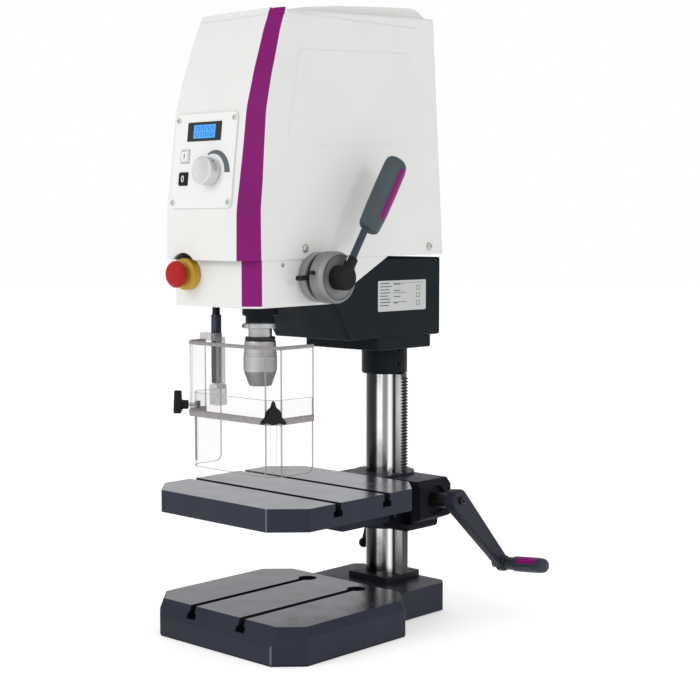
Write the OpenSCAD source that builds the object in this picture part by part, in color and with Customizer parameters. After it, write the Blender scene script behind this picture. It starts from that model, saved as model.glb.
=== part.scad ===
// Bench drill press with a belt driven spindle, a rack raised table and a swing guard.
// Units are millimetres, +Z is up, the operator stands on the -Y side.
// The column's axis is the Z axis and the bench plane is z = 0.

/* [Base] */
// Half width of the foot casting
base_hw = 159.5; // [150:0.5:162]
// Height of the front of the foot casting
base_h = 57; // [55:1:60]
// Height of the rear of the foot casting
base_rear_h = 47; // [45:1:50]
// Distance of each foot T-slot from the middle
base_slot_x = 54; // [50:1:60]

/* [Column] */
// Column outer radius
col_r = 30; // [30:0.5:30]
// Top of the column inside the head
col_top = 574; // [540:1:576]
// Height of the top tooth of the lifting rack
rack_top = 386; // [360:1:386]

/* [Table] */
// Height of the table's top face at its lowest position
table_z = 228; // [228:0.5:228]
// Thickness of the table slab
table_t = 34; // [32:1:36]
// Half width of the table slab
table_hw = 159; // [150:1:162]

/* [T-slots] */
// Width of a T-slot's neck
neck_w = 12; // [10:1:14]
// Depth of a T-slot's neck
neck_d = 11; // [9:1:12]
// Width of a T-slot's undercut
tee_w = 19; // [18:1:22]
// Depth of a T-slot's undercut
tee_d = 9; // [7:1:9]

/* [Head] */
// Half width of the belt hood
hood_hw = 88; // [86:1:90]
// Wall of the moulded covers
hood_wall = 4; // [3:0.5:4]
// Distance of the spindle axis in front of the column axis
throat = 282; // [282:0.5:282]
// Quill outer radius
quill_r = 18; // [18:0.5:18]

/* [Guard] */
// Thickness of the clear guard sheets
sheet = 3; // [2:0.5:3]
// Radius of the star knobs' lobes circle
knob_r = 15; // [13:0.5:16]

/* [Hidden] */
// Running clearance of a shaft in its bore
run = 0.05;
sp_y = -throat;
base_front = -381.5;
base_back = 45;
base_rear_hw = 100;
base_ch = 37;
slot_end_y = -127;
bolt_r = 6.5;
table_front = -382;
table_back = -71;
table_ch = 44;
tslot_y1 = -279;
tslot_y2 = -172;
pitch_m = 1.6;
pitch = PI * pitch_m;
lift_teeth = 16;
lift_r = lift_teeth * pitch_m / 2;
rack_back_x = 29;
rack_tip_x = 46;
rack_root_x = rack_tip_x - 3.5;
lift_x = rack_tip_x - pitch_m + lift_r;
lift_z = 162;
crank_tilt = 5.5;
worm_gap = 21.9;
worm_x = lift_x - worm_gap * sin(crank_tilt);
worm_z = lift_z + worm_gap * cos(crank_tilt);
arm_u = 98;
arm_dy = 112;
arm_dz = -118;
feed_y = -250;
feed_z = 553.5;
feed_m = 1.5;
feed_teeth = 24;
feed_r = feed_teeth * feed_m / 2;
lever_lean = 33;
lever_x = 143;
panel_tilt = -6.74;
panel_y = -390.15;
panel_z = 654;
panel_x = 5;
estop_x = -50;
estop_z = 558;
post_x = -74;
post_y = -304;
guard_knob_z = 357.5;
motor_y = -110;
belt_z = 672;
spindle_pulley_r = 44;
motor_pulley_r = 24;
jaw_lean = 15;
jaw_r = 2.3;
jaw_tip = 8.4;
jaw_tip_z = 391;
white = [0.93, 0.93, 0.91];
dark = [0.12, 0.15, 0.19];
slate = [0.17, 0.19, 0.26];
steel = [0.75, 0.76, 0.78];
grey = [0.62, 0.64, 0.64];
black = [0.06, 0.06, 0.07];
clear = [0.85, 0.87, 0.88, 0.35];
magenta = [0.5, 0.1, 0.42];

// Which node to draw

// A slab with its four vertical edges cut at 45 degrees.
module cut_slab(hw, front, back, ch, z0, h) {
  translate([0, 0, z0])
    linear_extrude(height = h)
      polygon([
        [-hw + ch, front], [hw - ch, front], [hw, front + ch], [hw, back - ch],
        [hw - ch, back], [-hw + ch, back], [-hw, back - ch], [-hw, front + ch]
      ]);
}

// A cylinder lying along X, from x0, of length len.
module rod_x(x0, y, z, r, len) {
  translate([x0, y, z])
    rotate([0, 90, 0])
      cylinder(r = r, h = len, $fn = 64);
}

// A cylinder lying along Y, from y0, of length len.
module rod_y(x, y0, z, r, len) {
  translate([x, y0, z])
    rotate([-90, 0, 0])
      cylinder(r = r, h = len, $fn = 64);
}

// A T-slot cutter along X, its mouth at height z.
module tslot_x(y, z, hw) {
  translate([-hw, y - neck_w / 2, z - neck_d])
    cube([2 * hw, neck_w, neck_d + 1]);
  translate([-hw, y - tee_w / 2, z - neck_d - tee_d])
    cube([2 * hw, tee_w, tee_d]);
}

// A T-slot cutter along Y, its mouth at height z.
module tslot_y(x, y0, y1, z) {
  translate([x - neck_w / 2, y0, z - neck_d])
    cube([neck_w, y1 - y0, neck_d + 1]);
  translate([x - tee_w / 2, y0, z - neck_d - tee_d])
    cube([tee_w, y1 - y0, tee_d]);
}

// Outline of a spur gear with straight sided teeth.
module gear_outline(teeth, m, turn) {
  r = teeth * m / 2;
  step = 360 / teeth;
  tip = step * 0.10;
  foot = step * 0.225;
  polygon([
    for (i = [0 : teeth - 1], k = [0 : 3])
      let (
        side = k < 2 ? -1 : 1,
        outer = (k == 1 || k == 2),
        rad = outer ? r + m * 0.9 : r - m * 1.15,
        a = turn + i * step + side * (outer ? tip : foot)
      )
      [rad * cos(a), rad * sin(a)]
  ]);
}

// A cylinder following the crank shaft's tilted axis, u counted from above the lift gear.
module crank_rod(u0, r, len) {
  translate([worm_x, 0, worm_z])
    rotate([0, 90 - crank_tilt, 0])
      translate([0, 0, u0])
        cylinder(r = r, h = len, $fn = 64);
}

module crank_place(u) {
  translate([worm_x, 0, worm_z])
    rotate([0, -crank_tilt, 0])
      translate([u, 0, 0])
        children();
}

module panel_place(x, up, out) {
  translate([panel_x, panel_y, panel_z])
    rotate([panel_tilt, 0, 0])
      translate([x, -out, up])
        children();
}

// A button or knob body on the panel, pointing out of it.
module panel_disc(x, up, out, r, len) {
  panel_place(x, up, out + len)
    rotate([-90, 0, 0])
      cylinder(r = r, h = len, $fn = 64);
}

module spindle_at(z0, r, len) {
  translate([0, sp_y, z0])
    cylinder(r = r, h = len, $fn = 96);
}

module spindle_cone(z0, r0, r1, len) {
  translate([0, sp_y, z0])
    cylinder(r1 = r0, r2 = r1, h = len, $fn = 96);
}

module lever_place(along) {
  translate([lever_x, feed_y, feed_z])
    rotate([-lever_lean, 0, 0])
      translate([0, 0, along])
        children();
}

module base() {
  color(slate)
    difference() {
      union() {
        cut_slab(base_hw, base_front, -92, base_ch, 0, base_h);
        cut_slab(base_hw + 0.5, base_front - 0.5, -88.5, base_ch, 0, 8);
        cut_slab(base_rear_hw, -150, base_back, 12, 0, base_rear_h);
      }
      for (s = [-1, 1]) {
        tslot_y(s * base_slot_x, base_front - 10, slot_end_y, base_h);
        translate([s * base_slot_x, slot_end_y, base_h - neck_d - tee_d])
          cylinder(r = 15, h = neck_d + tee_d + 1, $fn = 48);
        translate([s * base_slot_x, slot_end_y, -1])
          cylinder(r = bolt_r, h = base_h, $fn = 48);
      }
      for (i = [-1 : 1], j = [0 : 1])
        translate([i * 94 - 40, base_front + 28 + j * 86, -1])
          cube([80, 76, 27]);
      for (sx = [-1, 1], sy = [-1, 1])
        translate([sx * 33, sy * 33, base_rear_h - 20])
          cylinder(r = 3.2, h = 30, $fn = 32);
    }
}

module foot_flange() {
  color(slate)
    difference() {
      translate([-42.5, -42.5, base_rear_h])
        cube([85, 85, 10.5]);
      translate([0, 0, base_rear_h - 1])
        cylinder(r = col_r + 0.1, h = 20, $fn = 96);
      for (sx = [-1, 1], sy = [-1, 1])
        translate([sx * 33, sy * 33, base_rear_h]) {
          translate([0, 0, -1])
            cylinder(r = 3.2, h = 20, $fn = 32);
          translate([0, 0, 6])
            cylinder(r = 5.8, h = 10, $fn = 32);
        }
    }
}

module flange_screws() {
  color(steel)
    for (sx = [-1, 1], sy = [-1, 1])
      translate([sx * 33, sy * 33, base_rear_h])
        difference() {
          union() {
            translate([0, 0, -18])
              cylinder(r = 3, h = 24.5, $fn = 32);
            translate([0, 0, 6])
              cylinder(r = 5.4, h = 5, $fn = 32);
          }
          translate([0, 0, 8])
            cylinder(r = 2.6, h = 6, $fn = 6);
        }
}

module column() {
  color(steel)
    difference() {
      translate([0, 0, base_rear_h])
        cylinder(r = col_r, h = col_top - base_rear_h, $fn = 128);
      translate([0, 0, base_rear_h - 1])
        cylinder(r = col_r - 5.5, h = col_top, $fn = 96);
      translate([rack_back_x, -20, base_rear_h + 10.5])
        cube([10, 40, rack_top - base_rear_h - 10]);
    }
}

module rack() {
  z0 = lift_z - 3 * pitch;
  n = floor((rack_top - z0) / pitch);
  color(dark)
    translate([0, 7, 0])
      rotate([90, 0, 0])
        linear_extrude(height = 14)
          polygon(concat(
            [[rack_back_x, base_rear_h + 10.6], [rack_tip_x, base_rear_h + 10.6], [rack_tip_x, z0 - pitch * 0.7]],
            [
              for (i = [0 : n - 1], k = [0 : 3])
                let (c = z0 + i * pitch, s = k < 2 ? -1 : 1, top = (k == 1 || k == 2))
                [top ? rack_tip_x : rack_root_x, c + s * pitch * (top ? 0.12 : 0.3)]
            ],
            [[rack_back_x, z0 + n * pitch - pitch * 0.6]]
          ));
}

module table() {
  z1 = table_z;
  color(slate)
    difference() {
      union() {
        cut_slab(table_hw, table_front, table_back, table_ch, z1 - table_t, table_t);
        translate([0, 0, 136])
          cylinder(r = 50, h = z1 - 136 - 2, $fn = 96);
        translate([-46, -150, 150])
          cube([92, 140, z1 - 152]);
        translate([-9, 20, 140])
          cube([18, 38, z1 - 145]);
        rotate([90, 0, 0])
          translate([0, 0, -38])
            linear_extrude(height = 76)
              polygon([[20, 138], [84, 138], [139, 160], [139, 214], [130, 222], [20, 222]]);
      }
      tslot_x(tslot_y1, z1, table_hw + 5);
      tslot_x(tslot_y2, z1, table_hw + 5);
      translate([0, 0, 100])
        cylinder(r = col_r + run, h = 200, $fn = 128);
      translate([20, -7.6, 100])
        cube([rack_tip_x - 20 + 0.8, 15.2, 200]);
      rod_y(lift_x, -10, lift_z, lift_r + 2.4, 20);
      rod_y(lift_x, -39, lift_z, 4.02, 60);
      crank_rod(-8, 7.6, 50);
      crank_rod(30, 8 + run, 30);
      crank_rod(50, 12.02, 40);
      translate([64, -39, 150])
        cube([28, 22, 62]);
      translate([-1.5, 25, 100])
        cube([3, 40, 200]);
      rod_x(-40, 44, 180, 5 + run, 80);
      for (i = [-1 : 1], j = [0 : 1])
        translate([i * 92 - 40, table_front + 28 + j * 96, z1 - table_t - 1])
          cube([80, 84, 8]);
    }
}

module shaft_bush() {
  color([0.78, 0.6, 0.25])
    difference() {
      crank_rod(51, 12, 32);
      crank_rod(40, 8 + run, 60);
    }
}

module gear_pin() {
  color(steel)
    rod_y(lift_x, -37, lift_z, 4, 56);
}

module lift_gear() {
  color(grey)
    translate([lift_x, 9, lift_z])
      rotate([90, 0, 0])
        difference() {
          linear_extrude(height = 18)
            gear_outline(lift_teeth, pitch_m, 180 + 180 / lift_teeth);
          translate([0, 0, -1])
            cylinder(r = 4 + run, h = 20, $fn = 48);
        }
}

module worm_shaft() {
  color(steel)
    union() {
      crank_rod(-7, 7.1, 39);
      crank_rod(31, 8, 62);
    }
}

// The crank's arm swings in the plane square to its shaft.
module crank_arm() {
  arm_len = norm([arm_dy, arm_dz]);
  arm_turn = atan2(arm_dy, -arm_dz);
  color(slate)
    crank_place(arm_u - 11)
      difference() {
        union() {
          rod_x(0.4, 0, 0, 17, 21.6);
          rotate([arm_turn, 0, 0]) {
            translate([4, -12, -arm_len])
              cube([12, 24, arm_len]);
            rod_x(2, 0, -arm_len, 13, 16);
          }
        }
        rod_x(-5, 0, 0, 8.02, 20);
        rod_x(10, 0, 0, 3.2, 20);
        rotate([arm_turn, 0, 0])
          rod_x(-5, 0, -arm_len, 5.02, 40);
      }
}

module crank_screw() {
  color(black)
    crank_place(arm_u - 11)
      difference() {
        union() {
          rod_x(22.1, 0, 0, 6, 5);
          rod_x(15.1, 0, 0, 3, 8);
        }
        translate([24, 0, 0])
          rotate([0, 90, 0])
            cylinder(r = 2.5, h = 6, $fn = 6);
      }
}

module crank_grip_place() {
  arm_len = norm([arm_dy, arm_dz]);
  arm_turn = atan2(arm_dy, -arm_dz);
  crank_place(arm_u - 11)
    rotate([arm_turn, 0, 0])
      translate([0, 0, -arm_len])
        children();
}

module crank_grip() {
  color(black)
    crank_grip_place()
      difference() {
        union() {
          rod_x(-4, 0, 0, 4.97, 30);
          rod_x(-9, 0, 0, 8, 10.5);
          rod_x(19, 0, 0, 10.5, 14);
          rod_x(33, 0, 0, 12.5, 56);
          translate([89, 0, 0])
            rotate([0, 90, 0])
              cylinder(r1 = 12.5, r2 = 9.5, h = 9, $fn = 64);
        }
        translate([42, -6, 9])
          cube([40, 12, 6]);
      }
}

module crank_grip_inlay() {
  color(magenta)
    crank_grip_place()
      translate([42.1, -5.9, 9.1])
        cube([39.8, 11.8, 3.6]);
}

module clamp_lever() {
  color(black)
    union() {
      rod_x(-66, 44, 180, 10, 12);
      rod_x(-58, 44, 180, 5, 76);
      translate([-60, 44, 180])
        rotate([180 - 18, 0, 0]) {
          cylinder(r = 4.5, h = 92, $fn = 48);
          translate([0, 0, 92])
            sphere(r = 8.5, $fn = 48);
        }
    }
}

module head_casting() {
  color(dark)
    difference() {
      union() {
        rotate([90, 0, 90])
          translate([0, 0, -82])
            linear_extrude(height = 164)
              polygon([
                [44, 579], [44, 453.5], [-171, 453.5], [-206, 509], [-235, 579]
              ]);
        translate([-79, -107, 434])
          cube([158, 134, 20]);
        translate([-40, sp_y, 509])
          cube([80, 80, 70]);
        spindle_at(494, 27, 85);
        spindle_at(484, 22, 12);
      }
      translate([0, 0, 400])
        cylinder(r = col_r + 0.1, h = col_top - 400 + 0.2, $fn = 128);
      spindle_at(400, quill_r + run, 300);
      spindle_at(450, 26.5, 34);
      rod_x(-13, feed_y, feed_z, feed_r + 2.4, 26);
      rod_x(-100, feed_y, feed_z, 8 + run, 200);
      for (s = [-1, 1])
        translate([s * 61 - 14, -196, 516])
          cube([28, 56, 100]);
      for (y = [-150, -70], s = [-1, 1])
        translate([s * 40, y, 565])
          cylinder(r = 3.2, h = 30, $fn = 32);
      translate([40, 28, 480])
        rotate([-90, 0, 0])
          cylinder(r = 6.1, h = 40, $fn = 48);
    }
}

module column_collar() {
  color(dark)
    difference() {
      translate([0, 0, 388])
        cylinder(r = 37.5, h = 45.8, $fn = 96);
      translate([0, 0, 380])
        cylinder(r = col_r + 0.1, h = 80, $fn = 128);
    }
}

module label_plate() {
  color([0.8, 0.8, 0.78])
    translate([82.1, -108.5, 495.5])
      cube([1, 115, 48]);
}

module cable_gland() {
  color(black)
    difference() {
      union() {
        rod_y(40, 32, 480, 6, 14);
        rod_y(40, 44.1, 480, 9.5, 12);
      }
      rod_y(40, 20, 480, 3.5, 60);
    }
}

// Side outline of the hood, grown inwards by g.
module hood_outline(g) {
  polygon([
    [-390.4 + g, 583.5], [-390.4 + g, 652], [-373.5 + g * 1.02, 795], [-359.2 + g * 1.06, 846],
    [-337.5 + g * 1.12, 906], [-321.8 + g * 1.6, 938 - g], [27 - g, 957 - g], [46 - g, 583.5]
  ]);
}

// The low ridge along the top of the hood; g moves its faces inward.
module hood_dome(g) {
  rotate([90, 0, 90])
    translate([0, 0, -66 + g])
      linear_extrude(height = 132 - 2 * g)
        polygon([
          [-296 + 2 * g, 930], [-295 + 3 * g, 941 - g], [-239, 951 - g], [-175, 959 - g],
          [-85, 967 - g], [2 - g, 973 - g], [20 - g, 960 - g], [20 - g, 930]
        ]);
}

module upper_hood() {
  color(white)
    difference() {
      union() {
        intersection() {
          rotate([90, 0, 90])
            translate([0, 0, -hood_hw])
              linear_extrude(height = 2 * hood_hw)
                hood_outline(0);
          cut_slab(hood_hw, -391, 47, 9, 500, 500);
        }
        hood_dome(0);
      }
      hood_dome(hood_wall);
      rotate([90, 0, 90])
        translate([0, 0, -hood_hw + hood_wall])
          linear_extrude(height = 2 * (hood_hw - hood_wall))
            hood_outline(hood_wall);
      translate([-hood_hw, -392, 583.4])
        cube([2 * hood_hw, 1, 1]);
      rod_y(estop_x, -400, estop_z, 30, 30);
      for (s = [-1, 1], y = [-274, 8])
        rod_x(s * 88 - 10, y, 596, 3.2, 20);
      for (up = [76, 43])
        panel_place(-64, up - 10, 8)
          cube([20, 16, 20]);
      panel_disc(5, 52, -14, 4, 30);
      for (sx = [-74, 46], up = [8, 129])
        panel_disc(sx, up, -14, 2.2, 30);
    }
}

// Bottom plate and skirt of the lower cover.
module lower_cover() {
  color(white)
    difference() {
      cut_slab(85.5, -376, 46, 12, 514, 69.3);
      translate([0, 0, 3])
        cut_slab(82.3, -376 + hood_wall, 60, 12, 514, 90);
      rotate([90, 0, 90])
        translate([0, 0, -100])
          linear_extrude(height = 200)
            polygon([[-217, 500], [-217, 514], [-86, 583.2], [-86, 600], [80, 600], [80, 500]]);
      spindle_at(500, 30, 40);
      translate([-42, sp_y, 500])
        cube([84, 100, 40]);
      translate([-82.2, -221, 510])
        cube([164.4, 30, 10]);
      translate([post_x, post_y, 500])
        cylinder(r = 9, h = 40, $fn = 48);
      rod_y(estop_x, -380, estop_z, 11.2, 12);
      rod_x(60, feed_y, feed_z, 24, 40);
      rod_x(-100, feed_y, feed_z, 9, 40);
    }
}

module hood_screws() {
  color(steel)
    for (s = [-1, 1], y = [-274, 8])
      difference() {
        union() {
          rod_x(s * (hood_hw + 1.6) - 1.5, y, 596, 5, 3);
          rod_x(s * 84 - 6, y, 596, 2.9, 12);
        }
        translate([s * (hood_hw + 2.4) - 1, y, 596])
          rotate([0, 90, 0])
            cylinder(r = 2, h = 2, $fn = 6);
      }
}

module control_panel() {
  color([0.9, 0.9, 0.88])
    difference() {
      panel_place(-80, 0, 3.2)
        cube([131, 3, 138]);
      for (up = [76, 43])
        panel_place(-64, up - 10, 8)
          cube([20, 12, 20]);
      panel_disc(5, 52, -14, 4, 30);
      for (sx = [-74, 46], up = [8, 129])
        panel_disc(sx, up, -14, 2.2, 30);
      panel_place(-52.5, 97.5, 6)
        cube([73, 8, 28]);
    }
}

module panel_screws() {
  color(steel)
    for (sx = [-74, 46], up = [8, 129])
      difference() {
        union() {
          panel_disc(sx, up, 3.2, 4, 1.6);
          panel_disc(sx, up, -8, 2, 11.4);
        }
        panel_disc(sx, up, 4, 1.4, 2);
      }
}

module display_bezel() {
  color(grey)
    difference() {
      panel_place(-52.4, 97.6, 4.6)
        cube([72.8, 4.4, 27.8]);
      panel_place(-40, 101.5, 5)
        cube([48, 3, 20]);
    }
}

module display_screen() {
  color([0.2, 0.55, 0.85])
    panel_place(-39.9, 101.6, 3.6)
      cube([47.8, 1.4, 19.8]);
}

module start_button() {
  color(white)
    panel_place(-63, 67, 6.5)
      cube([18, 8.5, 18]);
}

module stop_button() {
  color(black)
    panel_place(-63, 34, 6.5)
      cube([18, 8.5, 18]);
}

module speed_knob() {
  color(grey)
    difference() {
      union() {
        panel_disc(5, 52, 3.5, 20.5, 20);
        panel_disc(5, 52, -10, 3.6, 14);
      }
      panel_place(5, 52, 15)
        rotate([0, 50, 0])
          translate([0, 0, 18.5])
            cylinder(r = 1.6, h = 4, $fn = 32);
    }
}

module estop_collar() {
  color([0.88, 0.75, 0.2])
    difference() {
      union() {
        rod_y(estop_x, -391, estop_z, 23.5, 14.8);
        rod_y(estop_x, -376.5, estop_z, 11, 20);
      }
      rod_y(estop_x, -395, estop_z, 8.05, 60);
    }
}

module estop_button() {
  color([0.75, 0.12, 0.12])
    union() {
      rod_y(estop_x, -412, estop_z, 20, 13);
      rod_y(estop_x, -399.5, estop_z, 8, 34);
    }
}

module motor_bracket() {
  color(grey)
    difference() {
      union() {
        translate([-60, -170, 704])
          cube([120, 120, 6]);
        for (y = [-150, -70], s = [-1, 1])
          translate([s * 40, y, 579.1])
            cylinder(r = 6, h = 126, $fn = 48);
        for (y = [-150, -70], s = [-1, 1])
          translate([s * 40, y, 568])
            cylinder(r = 3, h = 14, $fn = 32);
      }
      translate([0, motor_y, 690])
        cylinder(r = 14, h = 40, $fn = 48);
    }
}

module motor() {
  color(dark)
    difference() {
      union() {
        translate([0, motor_y, 710.1])
          cylinder(r = 46, h = 150, $fn = 96);
        translate([0, motor_y, 860])
          cylinder(r = 38, h = 12, $fn = 96);
      }
      translate([0, motor_y, 700])
        cylinder(r = 8.05, h = 140, $fn = 48);
    }
}

module motor_pulley() {
  color(grey)
    union() {
      translate([0, motor_y, belt_z])
        cylinder(r = motor_pulley_r, h = 24, $fn = 96);
      translate([0, motor_y, belt_z + 20])
        cylinder(r = 8, h = 140, $fn = 48);
    }
}

module belt_loop(grow) {
  hull() {
    translate([0, sp_y])
      circle(r = spindle_pulley_r + grow, $fn = 96);
    translate([0, motor_y])
      circle(r = motor_pulley_r + grow, $fn = 96);
  }
}

module drive_belt() {
  color(black)
    translate([0, 0, belt_z + 2])
      linear_extrude(height = 18)
        difference() {
          belt_loop(3.5);
          belt_loop(0.5);
        }
}

module pulley_bridge() {
  color(grey)
    difference() {
      union() {
        translate([-56, sp_y - 20, 652])
          cube([112, 40, 10]);
        for (s = [-1, 1])
          translate([s * 34 - 4, sp_y - 14, 579.1])
            cube([8, 28, 75]);
      }
      spindle_at(600, 12, 100);
    }
}

module spindle_pulley() {
  color(grey)
    difference() {
      union() {
        spindle_at(belt_z, spindle_pulley_r, 24);
        spindle_at(653, 11.95, 20);
      }
      spindle_at(600, 9 + run, 200);
    }
}

module quill() {
  rp = feed_r + feed_y - sp_y - 2 * feed_r;
  fp = PI * feed_m;
  color(steel)
    difference() {
      spindle_at(463, quill_r, 185);
      spindle_at(400, 9.6, 300);
      spindle_at(460, 15.03, 19);
      translate([-20, sp_y + rp + feed_m, feed_z - 12])
        cube([40, 20, 200]);
      for (i = [-2 : 20])
        translate([-20, 0, feed_z + i * fp])
          rotate([90, 0, 90])
            linear_extrude(height = 40)
              polygon([
                [sp_y + rp - feed_m * 1.2, -fp * 0.2], [sp_y + rp + 6, -fp * 0.62],
                [sp_y + rp + 6, fp * 0.62], [sp_y + rp - feed_m * 1.2, fp * 0.2]
              ]);
    }
}

module quill_collar() {
  color(grey)
    difference() {
      union() {
        spindle_at(475.5, 24, 8);
        rod_y(-8, sp_y - 29, 479.5, 4, 8);
      }
      spindle_at(460, quill_r + 0.02, 40);
    }
}

module quill_bearing() {
  color(steel)
    difference() {
      spindle_at(464, 15, 14);
      spindle_at(460, 9 + run, 30);
    }
}

module spindle() {
  color(steel)
    union() {
      spindle_at(440, 9, 380);
      spindle_at(426, 7, 16);
    }
}

module jaw_cutter(r, grow) {
  for (k = [0 : 2])
    jaw_place(k)
      translate([0, 0, -grow])
        cylinder(r = r, h = 24 + 2 * grow, $fn = 32);
}

module jaw_place(k) {
  translate([0, sp_y, 0])
    rotate([0, 0, 90 + 120 * k])
      translate([jaw_tip, 0, jaw_tip_z])
        rotate([0, jaw_lean, 0])
          children();
}

module chuck_core() {
  color(black)
    difference() {
      union() {
        spindle_at(457, 23, 5.6);
        spindle_at(403, 18, 55);
        spindle_at(389, 14.4, 15);
      }
      spindle_at(424, 9.02, 60);
      spindle_at(380, 6, 36);
      jaw_cutter(jaw_r + run, 8);
    }
}

module chuck_sleeve() {
  color(grey)
    difference() {
      union() {
        spindle_at(413, 25.5, 42);
        spindle_cone(455, 25.5, 23.5, 1.7);
        spindle_cone(388.5, 17.2, 25.5, 24.5);
      }
      spindle_at(402, 18.2, 80);
      spindle_at(380, 14.6, 40);
    }
}

module jaw(k) {
  color(steel)
    jaw_place(k)
      cylinder(r = jaw_r, h = 24, $fn = 32);
}

module jaw_a() {
  jaw(0);
}

module jaw_b() {
  jaw(1);
}

module jaw_c() {
  jaw(2);
}

module feed_flange() {
  color(grey)
    difference() {
      union() {
        rod_x(82.1, feed_y, feed_z, 23.5, 7);
        rod_x(88.4, feed_y, feed_z, 37, 11.6);
      }
      rod_x(60, feed_y, feed_z, 8 + run, 60);
    }
}

module depth_clamp() {
  color(black)
    union() {
      rod_y(104.7, feed_y - 58, feed_z, 4, 24.8);
      rod_y(104.7, feed_y - 34, feed_z, 3, 14);
    }
}

module feed_shaft() {
  color(steel)
    union() {
      rod_x(-78, feed_y, feed_z, 8, 190);
      translate([-10, feed_y, feed_z])
        rotate([90, 0, 90])
          linear_extrude(height = 20)
            gear_outline(feed_teeth, feed_m, 180);
    }
}

module feed_drum() {
  color([0.75, 0.76, 0.76])
    difference() {
      union() {
        rod_x(100.4, feed_y, feed_z, 33, 8.7);
        rod_x(109, feed_y, feed_z, 38.5, 25);
      }
      rod_x(130, feed_y, feed_z, 34, 10);
      rod_x(90, feed_y, feed_z, 8.02, 40);
      rod_y(104.7, feed_y - 36, feed_z, 3.02, 17);
      rod_y(118, feed_y - 42, feed_z + 8, 3.02, 16);
    }
}

module feed_cap() {
  color(black)
    difference() {
      union() {
        rod_x(130.1, feed_y, feed_z, 18.5, 23);
        rod_y(118, feed_y - 46, feed_z + 8, 3, 18);
        lever_place(14)
          cylinder(r = 9, h = 20, $fn = 64);
      }
      lever_place(10)
        cylinder(r = 5.52, h = 40, $fn = 64);
    }
}

module lever_arm() {
  color(black)
    lever_place(11)
      cylinder(r = 5.5, h = 110, $fn = 64);
}

module lever_grip() {
  color(slate)
    difference() {
      union() {
        lever_place(92)
          cylinder(r1 = 10.5, r2 = 13.5, h = 14, $fn = 64);
        lever_place(106)
          cylinder(r = 13.5, h = 92, $fn = 64);
        lever_place(198)
          cylinder(r1 = 13.5, r2 = 9, h = 9, $fn = 64);
      }
      lever_place(80)
        cylinder(r = 5.52, h = 42, $fn = 64);
      lever_place(108)
        translate([-6, 9, 0])
          cube([12, 6, 78]);
    }
}

module lever_inlay() {
  color(magenta)
    lever_place(108.1)
      translate([-5.9, 9.1, 0])
        cube([11.8, 4.6, 77.8]);
}

module guard_bracket() {
  color(dark)
    difference() {
      union() {
        translate([post_x - 7, post_y - 9, 536])
          cube([42, 18, 16]);
        translate([post_x + 20, post_y - 9, 517.5])
          cube([36, 18, 34]);
      }
      translate([post_x, post_y, 500])
        cylinder(r = 6 + run, h = 80, $fn = 48);
      spindle_at(500, 27.2, 100);
    }
}

module guard_post() {
  color(black)
    union() {
      translate([post_x - 4.5, post_y - 4.5, 388])
        cube([9, 9, 132]);
      translate([post_x, post_y, 519])
        cylinder(r = 6, h = 40, $fn = 48);
      translate([post_x - 6, post_y - 6, 388])
        cube([12, 12, 106]);
      translate([post_x, post_y, 552.3])
        cylinder(r = 7.8, h = 5, $fn = 48);
    }
}

// Corner points of the guard's plan line, moved out by d from half width w and front y.
function guard_line(w, front, ch, back_r, back_l, d) = [
  [w + d, back_r], [w + d, front + ch - 0.414 * d], [w - ch + 0.414 * d, front - d],
  [-w + ch - 0.414 * d, front - d], [-w - d, front + ch - 0.414 * d], [-w - d, back_l]
];

// A bent sheet standing on the guard's plan line.
module guard_sheet(w, front, back_r, back_l, t, z0, z1) {
  inner = guard_line(w, front, 16, back_r, back_l, -t / 2);
  translate([0, 0, z0])
    linear_extrude(height = z1 - z0)
      polygon(concat(
        guard_line(w, front, 16, back_r, back_l, t / 2),
        [for (i = [5 : -1 : 0]) inner[i]]
      ));
}

module guard_frame() {
  color(clear)
    difference() {
      union() {
        guard_sheet(98, -350, -268, -305, sheet, 346.5, 456);
        guard_sheet(98.6, -350.6, -268, -305, sheet + 1.8, 341.5, 351.5);
        translate([-98.8, -317, 454])
          cube([36, 16, 12]);
        translate([-80.6, post_y - 10, 355])
          cube([20, 20, 32]);
        translate([-66.5, post_y - 8, 380])
          cube([5, 16, 80]);
      }
      translate([post_x - 6.05, post_y - 6.05, 387.2])
        cube([12.1, 12.1, 100]);
      for (s = [-1, 1])
        translate([s * 90, -342, guard_knob_z])
          rotate([90, 0, s * 45])
            translate([0, 0, -12])
              cylinder(r = 3.1, h = 24, $fn = 32);
    }
}

module guard_screen() {
  color(clear)
    difference() {
      guard_sheet(93, -345, -264, -278, sheet, 264, 377.5);
      for (s = [-1, 1])
        translate([s * 85, -337, 0])
          rotate([0, 0, s * 45])
            translate([-4, -12, 272])
              cube([8, 24, 91]);
    }
}

// A three lobed hand knob with its clamp screw, pointing out along -Y before it is turned.
module star_knob(s) {
  translate([s * 90, -342, guard_knob_z])
    rotate([90, 0, s * 45]) {
      translate([0, 0, 4])
        cylinder(r = 7, h = 12, $fn = 48);
      translate([0, 0, 14])
        cylinder(r = 11, h = 12, $fn = 64);
      for (a = [90, 210, 330])
        rotate([0, 0, a])
          translate([knob_r, 0, 15])
            cylinder(r = 6.2, h = 10, $fn = 48);
      translate([0, 0, -10])
        cylinder(r = 3, h = 20, $fn = 32);
      translate([0, 0, -14])
        cylinder(r = 6, h = 5, $fn = 48);
    }
}

module knob_right() {
  color(black)
    star_knob(1);
}

module knob_left() {
  color(black)
    star_knob(-1);
}

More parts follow.
